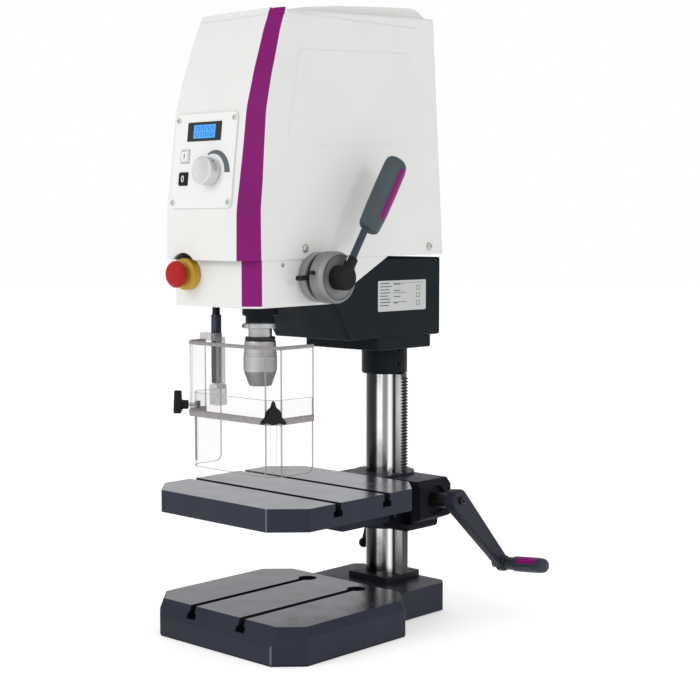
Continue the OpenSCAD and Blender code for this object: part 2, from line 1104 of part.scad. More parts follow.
base();
foot_flange();
flange_screws();
column();
rack();
table();
shaft_bush();
gear_pin();
lift_gear();
worm_shaft();
crank_arm();
crank_screw();
crank_grip();
crank_grip_inlay();
clamp_lever();
head_casting();
column_collar();
label_plate();
cable_gland();
upper_hood();
lower_cover();
hood_screws();
control_panel();
panel_screws();
display_bezel();
display_screen();
start_button();
stop_button();
speed_knob();
estop_collar();
estop_button();
motor_bracket();
motor();
motor_pulley();
drive_belt();
pulley_bridge();
spindle_pulley();
quill();
quill_collar();
quill_bearing();
spindle();
chuck_core();
chuck_sleeve();
jaw_a();
jaw_b();
jaw_c();
feed_flange();
depth_clamp();
feed_shaft();
feed_drum();
feed_cap();
lever_arm();
lever_grip();
lever_inlay();
guard_bracket();
guard_post();
guard_frame();
guard_screen();
knob_right();
knob_left();
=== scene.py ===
import contextlib
import math
import random

import bmesh
import bpy
from mathutils import Matrix, Vector


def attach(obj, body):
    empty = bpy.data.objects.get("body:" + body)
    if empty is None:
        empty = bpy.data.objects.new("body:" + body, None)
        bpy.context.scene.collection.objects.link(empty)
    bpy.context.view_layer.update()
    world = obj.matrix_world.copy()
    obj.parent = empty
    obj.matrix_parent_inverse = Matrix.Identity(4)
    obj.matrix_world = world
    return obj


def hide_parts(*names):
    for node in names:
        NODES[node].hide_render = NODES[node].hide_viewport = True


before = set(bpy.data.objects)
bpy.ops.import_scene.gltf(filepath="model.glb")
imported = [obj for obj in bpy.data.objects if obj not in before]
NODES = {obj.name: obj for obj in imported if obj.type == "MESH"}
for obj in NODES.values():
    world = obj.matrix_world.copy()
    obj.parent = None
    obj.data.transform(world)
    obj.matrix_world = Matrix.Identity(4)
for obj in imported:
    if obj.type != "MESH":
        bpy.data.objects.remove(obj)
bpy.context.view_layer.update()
MM = 0.001
SCENE = bpy.context.scene
SCENE.view_settings.view_transform = "Standard"
SCENE.view_settings.look = "None"

# ---------------------------------------------------------------- driving sizes, millimetres

COLUMN_R = 30
SPINDLE_Y = -282
FEED_Y, FEED_Z = -250, 553.5
GEAR_X, GEAR_Z = 57.2, 162
SHAFT_GAP, SHAFT_TILT = 21.9, 5.5
POST_X, POST_Y = -74, -304
SEAM_Z = 583.5
HOOD_HW, HOOD_BACK = 88.0, 46
HOOD_RISE, BACK_LEAN, SIDE_LEAN = 373.5, 19, 6
TOP_Y, TOP_Z = -322, 938
TOP_RUN, TOP_RISE = 349, 19
CAST_HW = 82.0
NECK_HW, TEE_HW = 6, 9.5
FOOT_SLOT_X, SLOT_END_Y = 54, -127
TABLE_SLOTS = (-279, -172)
FLANGE_BOLTS = [(x, y) for x in (-33, 33) for y in (-33, 33)]

# ---------------------------------------------------------------- camera


def place_new(name, data):
    """A new object in the scene for some data."""
    o = bpy.data.objects.new(name, data)
    SCENE.collection.objects.link(o)
    return o


cam_data = bpy.data.cameras.new("camera")
cam_data.lens = 76.83
cam_data.sensor_width = 36.0
cam_data.clip_start = 0.05
cam_data.clip_end = 60.0
camera = place_new("camera", cam_data)
SCENE.camera = camera
CAM_AZ, CAM_EL = math.radians(42.95), math.radians(4.76)
cam_back = Vector((
    math.sin(CAM_AZ) * math.cos(CAM_EL), -math.cos(CAM_AZ) * math.cos(CAM_EL), math.sin(CAM_EL),
))
camera.location = (1.6294, -1.8336, 0.6292)
camera.rotation_euler = cam_back.to_track_quat("Z", "Y").to_euler()

# ---------------------------------------------------------------- mesh tools


def rounded(before, point, after, seg):
    """One corner of an outline: the point itself, or an arc of its radius within its two sides."""
    p = Vector(point[:2])
    r = point[2] if len(point) > 2 else 0
    a = Vector(before[:2]) - p
    b = Vector(after[:2]) - p
    if r <= 0 or a.length < 1e-6 or b.length < 1e-6 or a.angle(b) > math.radians(178):
        return [tuple(p)]
    half = a.angle(b) / 2
    t = min(r / math.tan(half), a.length * 0.49, b.length * 0.49)
    r = t * math.tan(half)
    pa, pb = p + a.normalized() * t, p + b.normalized() * t
    c = p + (a.normalized() + b.normalized()).normalized() * (r / math.sin(half))
    a0 = math.atan2(pa.y - c.y, pa.x - c.x)
    a1 = math.atan2(pb.y - c.y, pb.x - c.x)
    da = (a1 - a0 + math.pi) % (2 * math.pi) - math.pi
    angles = [a0 + da * k / seg for k in range(seg + 1)]
    return [(c.x + r * math.cos(ang), c.y + r * math.sin(ang)) for ang in angles]


def fillet(points, seg=5):
    """A closed outline with each (x, y, radius) corner rounded."""
    out = []
    for i, point in enumerate(points):
        out += rounded(points[i - 1], point, points[(i + 1) % len(points)], seg)
    return out


def open_fillet(points, seg=5):
    """An open profile with its inner (x, y, radius) corners rounded."""
    out = [tuple(points[0][:2])]
    for before, point, after in zip(points, points[1:], points[2:]):
        out += rounded(before, point, after, seg)
    out.append(tuple(points[-1][:2]))
    return out


def window(x0, y0, x1, y1, r, seg=6):
    """A rectangle with rounded corners."""
    return fillet([(x0, y0, r), (x1, y0, r), (x1, y1, r), (x0, y1, r)], seg)


def shift(x, y, z):
    return Matrix.Translation((x, y, z))


def turn(degrees, axis):
    return Matrix.Rotation(math.radians(degrees), 4, axis)


def raw(name, verts, faces, place=None):
    """A mesh object from points in millimetres, moved to its place."""
    me = bpy.data.meshes.new(name)
    me.from_pydata([tuple(Vector(v) * MM) for v in verts], [], faces)
    o = place_new(name, me)
    if place is not None:
        m = place.copy()
        m.translation = m.translation * MM
        me.transform(m)
    tidy(o)
    return o


@contextlib.contextmanager
def edited(o):
    """Opens the object's mesh for changes and writes them back."""
    bm = bmesh.new()
    bm.from_mesh(o.data)
    yield bm
    bm.to_mesh(o.data)
    bm.free()


def tidy(o):
    """Welds doubled points, drops faces without area and turns every face outwards."""
    with edited(o) as bm:
        bmesh.ops.remove_doubles(bm, verts=bm.verts, dist=1e-6)
        bmesh.ops.dissolve_degenerate(bm, dist=1e-7, edges=bm.edges)
        bmesh.ops.recalc_face_normals(bm, faces=bm.faces)


def steps(z, table):
    """Reads a value off a table of (place, value) rows, straight between them."""
    for (z0, v0), (z1, v1) in zip(table, table[1:]):
        if z <= z1:
            return v0 + (v1 - v0) * (z - z0) / (z1 - z0)
    return table[-1][1]


AXES = {"z": lambda a, b, c: (a, b, c), "x": lambda a, b, c: (c, a, b), "y": lambda a, b, c: (a, c, b)}


def prism(name, outline, lo, hi, axis="z", place=None, grow=0.0):
    """An outline drawn across axis, extruded from lo to hi; grow widens it at the hi end."""
    f = AXES[axis]
    n = len(outline)
    mx = sum(p[0] for p in outline) / n
    my = sum(p[1] for p in outline) / n
    verts = [f(p[0], p[1], lo) for p in outline]
    for p in outline:
        d = Vector((p[0] - mx, p[1] - my))
        q = Vector(p[:2]) + (d.normalized() * grow if grow else Vector((0, 0)))
        verts.append(f(q.x, q.y, hi))
    faces = [tuple(range(n))[::-1], tuple(range(n, 2 * n))]
    for i in range(n):
        j = (i + 1) % n
        faces.append((i, j, n + j, n + i))
    return raw(name, verts, faces, place)


def soft_prism(name, points, soft, lo, hi, axis="z", place=None, grow=0.0):
    """A prism of an outline whose (x, y, radius) corners are rounded in soft steps."""
    return prism(name, fillet(points, soft), lo, hi, axis, place, grow)


def box(name, lo, hi, place=None):
    return prism(
        name, [(lo[0], lo[1]), (hi[0], lo[1]), (hi[0], hi[1]), (lo[0], hi[1])], lo[2], hi[2], "z", place,
    )


def lathe(name, profile, seg=96, place=None, flute=None):
    """A turned solid about its own Z: profile is (radius, z) from the bottom middle to the top middle."""
    verts, rings, faces = [], [], []
    for r, z in profile:
        if r < 1e-6:
            rings.append([len(verts)])
            verts.append((0, 0, z))
            continue
        ring = []
        for k in range(seg):
            a = 2 * math.pi * k / seg
            rr = r if flute is None else flute(r, z, a)
            ring.append(len(verts))
            verts.append((rr * math.cos(a), rr * math.sin(a), z))
        rings.append(ring)
    for a, b in zip(rings, rings[1:]):
        for k in range(seg):
            j = (k + 1) % seg
            if len(a) == 1 and len(b) == 1:
                continue
            if len(a) == 1:
                faces.append((a[0], b[k], b[j]))
            elif len(b) == 1:
                faces.append((a[k], a[j], b[0]))
            else:
                faces.append((a[k], a[j], b[j], b[k]))
    if len(rings[0]) > 1 and len(rings[-1]) > 1:
        for k in range(seg):
            j = (k + 1) % seg
            faces.append((rings[-1][k], rings[-1][j], rings[0][j], rings[0][k]))
    return raw(name, verts, faces, place)


def turned(name, points, soft, seg=96, place=None, flute=None):
    """A lathe of a profile whose (radius, z, rounding) corners are rounded in soft steps."""
    return lathe(name, open_fillet(points, soft), seg, place, flute)


def plug(name, r, low, high, seg=96, place=None):
    """A straight round bar along its own Z, mostly used to cut a hole."""
    return lathe(name, [(0, low), (r, low), (r, high), (0, high)], seg, place)


def rod(name, r, a, b, seg=48):
    """A straight round bar between two points."""
    a, b = Vector(a), Vector(b)
    d = b - a
    place = Matrix.Translation(a) @ d.to_track_quat("Z", "X").to_matrix().to_4x4()
    return plug(name, r, 0, d.length, seg, place)


def along(origin, direction, x_hint=(0, 0, 1)):
    """A placement whose Z points along direction and whose X leans to x_hint."""
    z = Vector(direction).normalized()
    x = Vector(x_hint) - z * Vector(x_hint).dot(z)
    x.normalize()
    y = z.cross(x)
    m = Matrix((x, y, z)).transposed().to_4x4()
    m.translation = Vector(origin)
    return m


def apply_mods(o):
    """Makes the object's modifiers part of its mesh."""
    dg = bpy.context.evaluated_depsgraph_get()
    me = bpy.data.meshes.new_from_object(o.evaluated_get(dg))
    old = o.data
    o.modifiers.clear()
    o.data = me
    bpy.data.meshes.remove(old)


def discard(o):
    me = o.data
    bpy.data.objects.remove(o)
    bpy.data.meshes.remove(me)


def combine(o, others, op):
    """Cuts the others from the object or welds them to it, and removes them."""
    for b in others:
        m = o.modifiers.new("b", "BOOLEAN")
        m.operation = op
        m.solver = "EXACT"
        m.object = b
    apply_mods(o)
    for b in others:
        discard(b)
    tidy(o)
    return o


def cut(o, *others):
    return combine(o, others, "DIFFERENCE")


def union(o, *others):
    return combine(o, others, "UNION")


def together(name, objs):
    """One mesh of several, without welding them."""
    bm = bmesh.new()
    mats = []
    for o in objs:
        part = bmesh.new()
        part.from_mesh(o.data)
        index = []
        for m in o.data.materials:
            if m not in mats:
                mats.append(m)
            index.append(mats.index(m))
        if index:
            for f in part.faces:
                f.material_index = index[min(f.material_index, len(index) - 1)]
        tmp = bpy.data.meshes.new("tmp")
        part.to_mesh(tmp)
        part.free()
        bm.from_mesh(tmp)
        bpy.data.meshes.remove(tmp)
        discard(o)
    me = bpy.data.meshes.new(name)
    bm.to_mesh(me)
    bm.free()
    for m in mats:
        me.materials.append(m)
    return place_new(name, me)


def bevel(o, width, seg=3, angle=32):
    """Rounds the edges that are sharper than the angle."""
    m = o.modifiers.new("bevel", "BEVEL")
    m.width = width * MM
    m.segments = seg
    m.limit_method = "ANGLE"
    m.angle_limit = math.radians(angle)
    m.harden_normals = False
    m.use_clamp_overlap = True
    m.miter_outer = "MITER_ARC"
    apply_mods(o)
    return o


def smooth(o, angle=38):
    """Shades smooth, keeping the edges that are sharper than the angle."""
    with edited(o) as bm:
        for f in bm.faces:
            f.smooth = True
        for e in bm.edges:
            e.smooth = not (len(e.link_faces) == 2 and e.calc_face_angle(0) > math.radians(angle))
    return o


def weigh(o):
    m = o.modifiers.new("normals", "WEIGHTED_NORMAL")
    m.keep_sharp = True
    m.weight = 60
    return o


def paint(o, *mats):
    """Gives the object its materials and leaves each face's own number as it is."""
    kept = [f.material_index for f in o.data.polygons]
    o.data.materials.clear()
    for m in mats:
        o.data.materials.append(m)
    o.data.polygons.foreach_set("material_index", kept)
    return o


def paint_where(o, index, test):
    """Gives material index to the faces whose centre and normal pass the test, both in millimetres."""
    for f in o.data.polygons:
        if test(Vector(f.center) / MM, Vector(f.normal)):
            f.material_index = index
    return o


def done(o, body, nodes=(), angle=38, weighted=True):
    """Finishes a piece: shading, the body it rides on and the CAD nodes it stands for."""
    smooth(o, angle)
    if weighted:
        weigh(o)
    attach(o, body)
    if nodes:
        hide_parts(*nodes)
    return o

# ---------------------------------------------------------------- materials


def rgba(value):
    return (*value, 1) if isinstance(value, tuple) and len(value) == 3 else value


class Graph:
    """A node tree being wired, with short names for its usual nodes."""

    def __init__(self, owner):
        owner.use_nodes = True
        self.m = owner
        self.t = owner.node_tree
        self.bsdf = self.t.nodes.get("Principled BSDF")
        self.coord = self.node("TexCoord", {}).outputs["Object"]

    def node(self, kind, inputs, **settings):
        """A new node; each input is linked to a socket or set to a value."""
        n = self.t.nodes.new("ShaderNode" + kind)
        for key, value in settings.items():
            setattr(n, key, value)
        for key, value in inputs.items():
            if hasattr(value, "is_linked"):
                self.t.links.new(value, n.inputs[key])
            else:
                n.inputs[key].default_value = value
        return n

    def noise(self, scale, stretch=(1, 1, 1), detail=4.0, rough=0.55):
        place = self.node("Mapping", {"Vector": self.coord, "Scale": stretch})
        inputs = {"Vector": place.outputs["Vector"], "Scale": scale, "Detail": detail, "Roughness": rough}
        return self.node("TexNoise", inputs).outputs["Fac"]

    def ramp(self, fac, low, high, a=0.3, b=0.7):
        n = self.node("ValToRGB", {"Fac": fac})
        for stop, place, colour in zip(n.color_ramp.elements, (a, b), (low, high)):
            stop.position = place
            stop.color = rgba(colour)
        return n.outputs["Color"]

    def round_ramp(self, side, out, levels):
        """Greys by the angle from out towards side; levels are (degrees, grey) rows from -180 to 180."""
        share = self.math("DIVIDE", self.math("ARCTAN2", side, out), 2 * math.pi)
        n = self.node("ValToRGB", {"Fac": self.math("ADD", share, 0.5)})
        stops = n.color_ramp.elements
        for degrees, grey in levels:
            place = degrees / 360 + 0.5
            stop = stops[0] if place <= 0 else stops[-1] if place >= 1 else stops.new(place)
            stop.color = (grey, grey, grey, 1)
        return n.outputs["Color"]

    def span(self, fac, low, high, a=0.25, b=0.75):
        inputs = {"Value": fac, "From Min": a, "From Max": b, "To Min": low, "To Max": high}
        return self.node("MapRange", inputs).outputs["Result"]

    def mix(self, fac, a, b, kind="MIX"):
        n = self.node("Mix", {}, data_type="RGBA", blend_type=kind)
        for value, socket in ((fac, n.inputs[0]), (rgba(a), n.inputs[6]), (rgba(b), n.inputs[7])):
            if hasattr(value, "is_linked"):
                self.t.links.new(value, socket)
            else:
                socket.default_value = value
        return n.outputs[2]

    def math(self, kind, a, b=0.0):
        return self.node("Math", {0: a, 1: b}, operation=kind).outputs[0]

    def colour(self, c):
        self.t.links.new(c, self.bsdf.inputs["Base Color"])

    def rough(self, r):
        self.t.links.new(r, self.bsdf.inputs["Roughness"])

    def bump(self, height, strength=0.2, depth=0.2):
        """Adds a bump on top of any bump that is there already."""
        last = self.bsdf.inputs["Normal"]
        n = self.node("Bump", {"Strength": strength, "Distance": depth * MM, "Height": height})
        if last.is_linked:
            self.t.links.new(last.links[0].from_socket, n.inputs["Normal"])
        self.t.links.new(n.outputs["Normal"], last)


def material(name, **sockets):
    """A graph on a new material, with some of its shader's sockets set."""
    g = Graph(bpy.data.materials.new(name))
    for key, value in sockets.items():
        g.bsdf.inputs[key.replace("_", " ")].default_value = rgba(value)
    return g


def shade(c, k):
    """A colour made lighter or darker, kept within 0 and 1."""
    return tuple(min(1.0, max(0.0, v * k)) for v in c)


def enamel(name, c, rough, coat, peel, cast=0.0, spec=0.25):
    """Painted metal with orange peel, dust, small chips and, where cast is set, a cast surface below."""
    g = material(name, Coat_Weight=coat, Coat_Roughness=0.15, Specular_IOR_Level=spec)
    broad = g.noise(6, detail=3)
    base = g.ramp(broad, shade(c, 0.88), shade(c, 1.14))
    dust = g.span(g.noise(55, detail=6), 0.0, 0.22, 0.52, 0.75)
    base = g.mix(dust, base, shade(c, 1.35))
    chips = g.span(g.noise(90, detail=8, rough=0.7), 0.0, 0.6, 0.70, 0.76)
    base = g.mix(chips, base, tuple(v * 0.6 + 0.10 for v in c))
    g.colour(base)
    g.rough(g.span(g.noise(30, detail=5), rough * 0.8, rough * 1.3))
    g.bump(g.noise(650, detail=2), 0.35, peel * 0.12)
    if cast:
        g.bump(g.noise(180, detail=5, rough=0.65), 0.6, cast)
    return g.m


def moulded(name, c, rough=0.4, grain=0.15, scale=900, coat=0.0, spread=0.05, spec=0.3):
    """Moulded or printed plastic with a fine grain."""
    g = material(name, Coat_Weight=coat, Coat_Roughness=0.1, Specular_IOR_Level=spec)
    g.colour(g.ramp(g.noise(9, detail=4), shade(c, 1 - spread), shade(c, 1 + spread)))
    g.rough(g.span(g.noise(45, detail=5), rough * 0.82, rough * 1.22))
    g.bump(g.noise(scale, detail=3), 0.3, grain * 0.1)
    return g.m


def metal(name, c, rough, lines, line_scale, depth, stain, spread=0.08):
    """Bare metal with machining lines along the axes that lines stretches, and a few stains."""
    g = material(name, Metallic=1.0)
    fine = g.noise(line_scale, lines, detail=6, rough=0.7)
    tone = g.ramp(fine, shade(c, 1 - spread), shade(c, 1 + spread))
    blot = g.span(g.noise(14, detail=6, rough=0.6), 0.0, stain, 0.45, 0.75)
    g.colour(g.mix(blot, tone, shade(c, 0.62)))
    base = g.span(fine, rough * 0.75, rough * 1.3)
    g.rough(g.math("ADD", base, g.span(g.noise(22, detail=5), 0.0, rough * 0.5, 0.4, 0.75)))
    g.bump(fine, 0.5, depth)
    return g.m


CAM_RIGHT = (math.cos(CAM_AZ), math.sin(CAM_AZ), 0.0)
CAM_FRONT = (math.sin(CAM_AZ), -math.cos(CAM_AZ), 0.0)


def paint_reflection_bands(m, cy, bands):
    """Multiplies a metal's tone round the upright axis at (0, cy) mm by (degrees, level) rows: painted
    reflection and painted shade, bands of light and dark set by the angle to the camera.
    """
    g = Graph(m)
    offset = g.node(
        "VectorMath", {0: g.coord, 1: (0, cy * MM, 0)}, operation="SUBTRACT",
    ).outputs["Vector"]
    side, out = (
        g.node("VectorMath", {0: offset, 1: d}, operation="DOT_PRODUCT").outputs["Value"]
        for d in (CAM_RIGHT, CAM_FRONT)
    )
    last = g.bsdf.inputs["Base Color"].links[0].from_socket
    g.colour(g.mix(1.0, last, g.round_ramp(side, out, bands), "MULTIPLY"))
    return m


WHITE = moulded("cover_white", (0.70, 0.70, 0.685), 0.34, grain=0.35, scale=700, coat=0.12, spread=0.02)
MAGENTA = moulded("stripe_magenta", (0.198, 0.008, 0.136), 0.42, grain=0.15, spread=0.05, spec=0.12)
PAINT = enamel("paint_slate", (0.021, 0.023, 0.039), 0.38, 0.02, 0.4, cast=0.05, spec=0.12)
# Painted shade: a darker, rougher slate for the insides of the T-slots and the table's gear housing,
# where shade falls.
PAINT_SHADE = enamel("paint_slate_shade", (0.008, 0.009, 0.014), 0.55, 0.0, 0.4, cast=0.12, spec=0.08)
CAST_DARK = enamel("paint_head", (0.006, 0.010, 0.0135), 0.45, 0.0, 0.35, cast=0.08, spec=0.09)
GROUND_X = metal("ground_table", (0.27, 0.28, 0.305), 0.19, (2.0, 90, 1), 18, 0.004, 0.25, spread=0.10)
GROUND_Y = metal("ground_foot", (0.135, 0.14, 0.157), 0.20, (90, 2.0, 1), 18, 0.004, 0.30, spread=0.10)
# Painted reflection: the studio's bright and dark upright bands are multiplied into the column's colour.
COLUMN = paint_reflection_bands(
    metal("column_ground", (0.86, 0.86, 0.87), 0.16, (1, 1, 160), 9, 0.002, 0.06, spread=0.04), 0,
    (
        (-180, 0.35), (-150, 0.8), (-128, 0.2), (-100, 0.6), (-84, 0.05), (-34, 0.03), (-27, 0.10),
        (-22, 1.1), (-10, 1.1), (-6, 0.36), (3, 0.24), (8, 0.38), (13, 1.0), (21, 0.9), (27, 0.10),
        (31, 0.03), (44, 0.03), (54, 0.5), (66, 0.85), (80, 0.3), (110, 0.7), (140, 0.15), (180, 0.35),
    ),
)
RACK = metal("rack_steel", (0.10, 0.10, 0.105), 0.42, (1, 1, 1), 260, 0.02, 0.35, spread=0.2)
RACK_SIDE = metal("rack_ground", (0.62, 0.62, 0.62), 0.3, (1, 1, 40), 40, 0.004, 0.2, spread=0.08)
TURNED = metal("turned_steel", (0.46, 0.46, 0.47), 0.24, (1, 1, 220), 8, 0.004, 0.08, spread=0.10)
# Painted reflection and painted shade on the chuck: upright bands, lighter on the left and darker on the
# right.
CHUCK_PAINTED_LIGHT = (
    (-180, 0.6), (-120, 0.9), (-84, 0.45), (-60, 0.8), (-20, 1.05), (10, 0.8), (40, 0.62), (75, 0.42),
    (100, 0.6), (150, 0.9), (180, 0.6),
)
CHUCK = paint_reflection_bands(
    metal("chuck_steel", (0.52, 0.52, 0.53), 0.34, (1, 1, 260), 8, 0.006, 0.10, spread=0.15), SPINDLE_Y,
    CHUCK_PAINTED_LIGHT,
)
CHUCK_CONE = paint_reflection_bands(
    metal("chuck_cone", (0.28, 0.28, 0.29), 0.36, (1, 1, 260), 8, 0.006, 0.10, spread=0.15), SPINDLE_Y,
    CHUCK_PAINTED_LIGHT,
)
SATIN = metal("satin_alloy", (0.52, 0.53, 0.53), 0.42, (1, 1, 1), 420, 0.02, 0.10, spread=0.05)
FLANGE = enamel("hub_grey", (0.26, 0.27, 0.265), 0.5, 0.0, 0.4, cast=0.05)
DRUM = metal("drum_alloy", (0.29, 0.295, 0.295), 0.56, (160, 1, 1), 9, 0.005, 0.06, spread=0.05)
KNOB = metal("knob_spun", (0.66, 0.66, 0.67), 0.40, (1, 1, 1), 500, 0.006, 0.05, spread=0.05)
ZINC = metal("screw_zinc", (0.60, 0.60, 0.58), 0.28, (1, 1, 1), 500, 0.01, 0.15, spread=0.12)
BLACK = moulded(
    "black_plastic", (0.007, 0.0078, 0.0083), 0.44, grain=0.5, scale=1100, spread=0.15, spec=0.15,
)
BLACK_STEEL = metal("black_oxide", (0.045, 0.045, 0.047), 0.38, (1, 1, 120), 14, 0.006, 0.2, spread=0.2)
SLATE = moulded("slate_grip", (0.045, 0.062, 0.072), 0.5, grain=0.6, scale=1300, spread=0.10, spec=0.35)
FOIL = moulded("panel_foil", (0.74, 0.74, 0.73), 0.4, grain=0.2, scale=1500, spread=0.02)
LINE = moulded("printed_grey", (0.10, 0.12, 0.14), 0.45, grain=0.1, spread=0.08)
INK = moulded("printed_black", (0.015, 0.015, 0.017), 0.4, grain=0.1, spread=0.1)
PALE = moulded("printed_white", (0.80, 0.80, 0.79), 0.4, grain=0.1, spread=0.03)
RED = moulded("stop_red", (0.36, 0.010, 0.008), 0.36, grain=0.3, coat=0.03, spread=0.06, spec=0.15)
YELLOW = moulded("stop_yellow", (0.48, 0.285, 0.024), 0.40, grain=0.3, spread=0.05)
BRONZE = metal("bush_bronze", (0.55, 0.36, 0.13), 0.32, (1, 1, 1), 300, 0.01, 0.25, spread=0.12)
LABEL = metal("label_foil", (0.59, 0.60, 0.59), 0.42, (1, 1, 1), 200, 0.003, 0.05, spread=0.04)
PAINT_DARK = enamel("paint_flange", (0.016, 0.019, 0.026), 0.42, 0.0, 0.4, cast=0.08, spec=0.2)
WORN = enamel("paint_worn_edge", (0.10, 0.115, 0.15), 0.45, 0.0, 0.5, cast=0.08)
SLATE_PAINT = enamel("crank_paint", (0.017, 0.0185, 0.031), 0.38, 0.03, 0.4, cast=0.03, spec=0.15)
SLATE_DARK = moulded("dark_slate", (0.024, 0.031, 0.044), 0.42, grain=0.4, scale=1300, spread=0.10)
RUBBER = moulded("belt_rubber", (0.012, 0.012, 0.012), 0.7, grain=0.8, spread=0.2)


def clear_sheet(name, c, alpha, rough):
    """Clear plastic with light scuffs."""
    g = material(name, Alpha=alpha, IOR=1.49, Coat_Weight=0.3, Coat_Roughness=0.03)
    g.colour(g.ramp(g.noise(12, detail=4), shade(c, 0.96), shade(c, 1.04)))
    g.rough(g.span(g.noise(70, (1, 1, 0.2), detail=7, rough=0.7), rough, rough * 2.2, 0.5, 0.8))
    g.bump(g.noise(25, detail=2), 0.15, 0.05)
    return g.m


CLEAR = clear_sheet("guard_clear", (0.40, 0.39, 0.385), 0.055, 0.06)
CLEAR_EDGE = clear_sheet("guard_edge", (0.27, 0.245, 0.245), 0.80, 0.25)
CLEAR_BLOCK = clear_sheet("guard_block", (0.36, 0.345, 0.345), 0.42, 0.2)


def screen_material():
    """The lit window of the speed display."""
    g = material(
        "display_blue", Emission_Color=(0.03, 0.26, 0.75), Emission_Strength=0.35, Coat_Weight=0.6,
    )
    g.colour(g.ramp(g.noise(60, detail=2), (0.03, 0.24, 0.68), (0.04, 0.32, 0.80)))
    g.rough(g.span(g.noise(40), 0.06, 0.12))
    return g.m


SCREEN = screen_material()
LCD_DARK = moulded("display_digit", (0.012, 0.10, 0.34), 0.3, grain=0.05, spread=0.1)

# ---------------------------------------------------------------- studio

LIGHT_CARDS = (
    (-180, 0.76), (-110, 0.68), (-60, 0.84), (-14, 0.88), (10, 0.75), (40, 0.78), (78, 0.70), (110, 0.62),
    (150, 0.66), (180, 0.76),
)
SCENE.world = bpy.data.worlds.new("studio")
studio = Graph(SCENE.world)
direction = studio.node("TexCoord", {}).outputs["Generated"]
side, out, up = (
    studio.node("VectorMath", {0: direction, 1: d}, operation="DOT_PRODUCT").outputs["Value"]
    for d in (CAM_RIGHT, CAM_FRONT, (0, 0, 1))
)
cards = studio.round_ramp(side, out, LIGHT_CARDS)
dome = studio.mix(studio.span(up, 0.0, 1.0, 0.42, 0.80), cards, (0.86, 0.86, 0.865))
direct = studio.node("LightPath", {}).outputs["Is Camera Ray"]
sky = studio.t.nodes["Background"]
studio.t.links.new(studio.mix(direct, dome, (1, 1, 1)), sky.inputs["Color"])
sky.inputs["Strength"].default_value = 1.0


def area_light(name, spot, size, power, aim=(0, -0.15, 0.5)):
    """A round soft light at a spot, aimed at the machine's middle; metres and watts."""
    data = bpy.data.lights.new(name, "AREA")
    data.shape = "DISK"
    data.size = size
    data.energy = power
    o = place_new(name, data)
    o.location = spot
    o.rotation_euler = (Vector(spot) - Vector(aim)).to_track_quat("Z", "Y").to_euler()


area_light("key", (-0.5, -2.6, 1.7), 1.3, 17)
area_light("side", (2.4, -0.2, 1.35), 0.55, 7.5)


def floor_material():
    """Plain pale ground that glows a little, so that only a soft shadow shows."""
    g = material(
        "floor_pale", Roughness=0.75, Specular_IOR_Level=0.1, Emission_Color=(1, 1, 1),
        Emission_Strength=0.34,
    )
    g.colour(g.ramp(g.noise(3, detail=3), (0.915, 0.915, 0.915), (0.935, 0.935, 0.935)))
    return g.m


floor = plug("floor", 14000, -2, -0.3, 96)
paint(floor, floor_material())

# ---------------------------------------------------------------- axes

ALONG_X = turn(90, "Y")
SPINDLE = shift(0, SPINDLE_Y, 0)
FEED = shift(0, FEED_Y, FEED_Z) @ ALONG_X

# ---------------------------------------------------------------- hood

HOOD_FRONT = open_fillet(
    [
        (SEAM_Z, -390.4, 0), (652, -390.4, 160), (795, -373.5, 160), (846, -359.2, 300),
        (906, -337.5, 200), (938, -321.8, 200), (1010, -284.0, 0),
    ],
    8,
)


def hood_back_y(z):
    """The back plate's y at a height."""
    return HOOD_BACK - BACK_LEAN * (z - SEAM_Z) / HOOD_RISE


def hood_half(z):
    """Half the hood's width at a height."""
    return HOOD_HW - SIDE_LEAN * (z - SEAM_Z) / HOOD_RISE


STRIPE_FRONT = ((583, 21), (640, 19.5), (700, 16), (750, 13.5), (830, 12), (895, 13.5), (940, 17))
STRIPE_SIDE = ((583, 27), (690, 27.5), (746, 25.5), (809, 24), (867, 21), (894, 18.5), (940, 12.5))


def hollow(o, wall):
    """Turns a closed skin into walls of that thickness, inside it."""
    walls = o.modifiers.new("walls", "SOLIDIFY")
    walls.thickness = wall * MM
    walls.offset = -1
    apply_mods(o)


def top_z(y):
    """The sloped top's height at a depth."""
    return TOP_Z + (y - TOP_Y) * TOP_RISE / TOP_RUN


def chamfer_ring(hw, y0, y1, leg_x, leg_y, r_left=4.0, r_back=7.0, seg=8):
    """A level section: the right front corner is a chamfer, the other three are rounded."""
    return fillet(
        [
            (hw - leg_x, y0, 5.0), (hw, y0 + leg_y, 5.0), (hw, y1, r_back), (-hw, y1, r_back),
            (-hw, y0, r_left),
        ],
        seg,
    )


def shell_loft(name, levels, section, stripe):
    """Walls between the sections at each level, open below, closed above."""
    bm = bmesh.new()
    rings = []
    for z in levels:
        rings.append([bm.verts.new((x * MM, y * MM, z * MM)) for x, y in section(z)])
    n = len(rings[0])
    for a, b in zip(rings, rings[1:]):
        for i in range(n):
            j = (i + 1) % n
            f = bm.faces.new((a[i], a[j], b[j], b[i]))
            f.material_index = 1 if stripe[0] <= i < stripe[1] else 0
    bm.faces.new(rings[-1])
    me = bpy.data.meshes.new(name)
    bm.to_mesh(me)
    bm.free()
    return place_new(name, me)


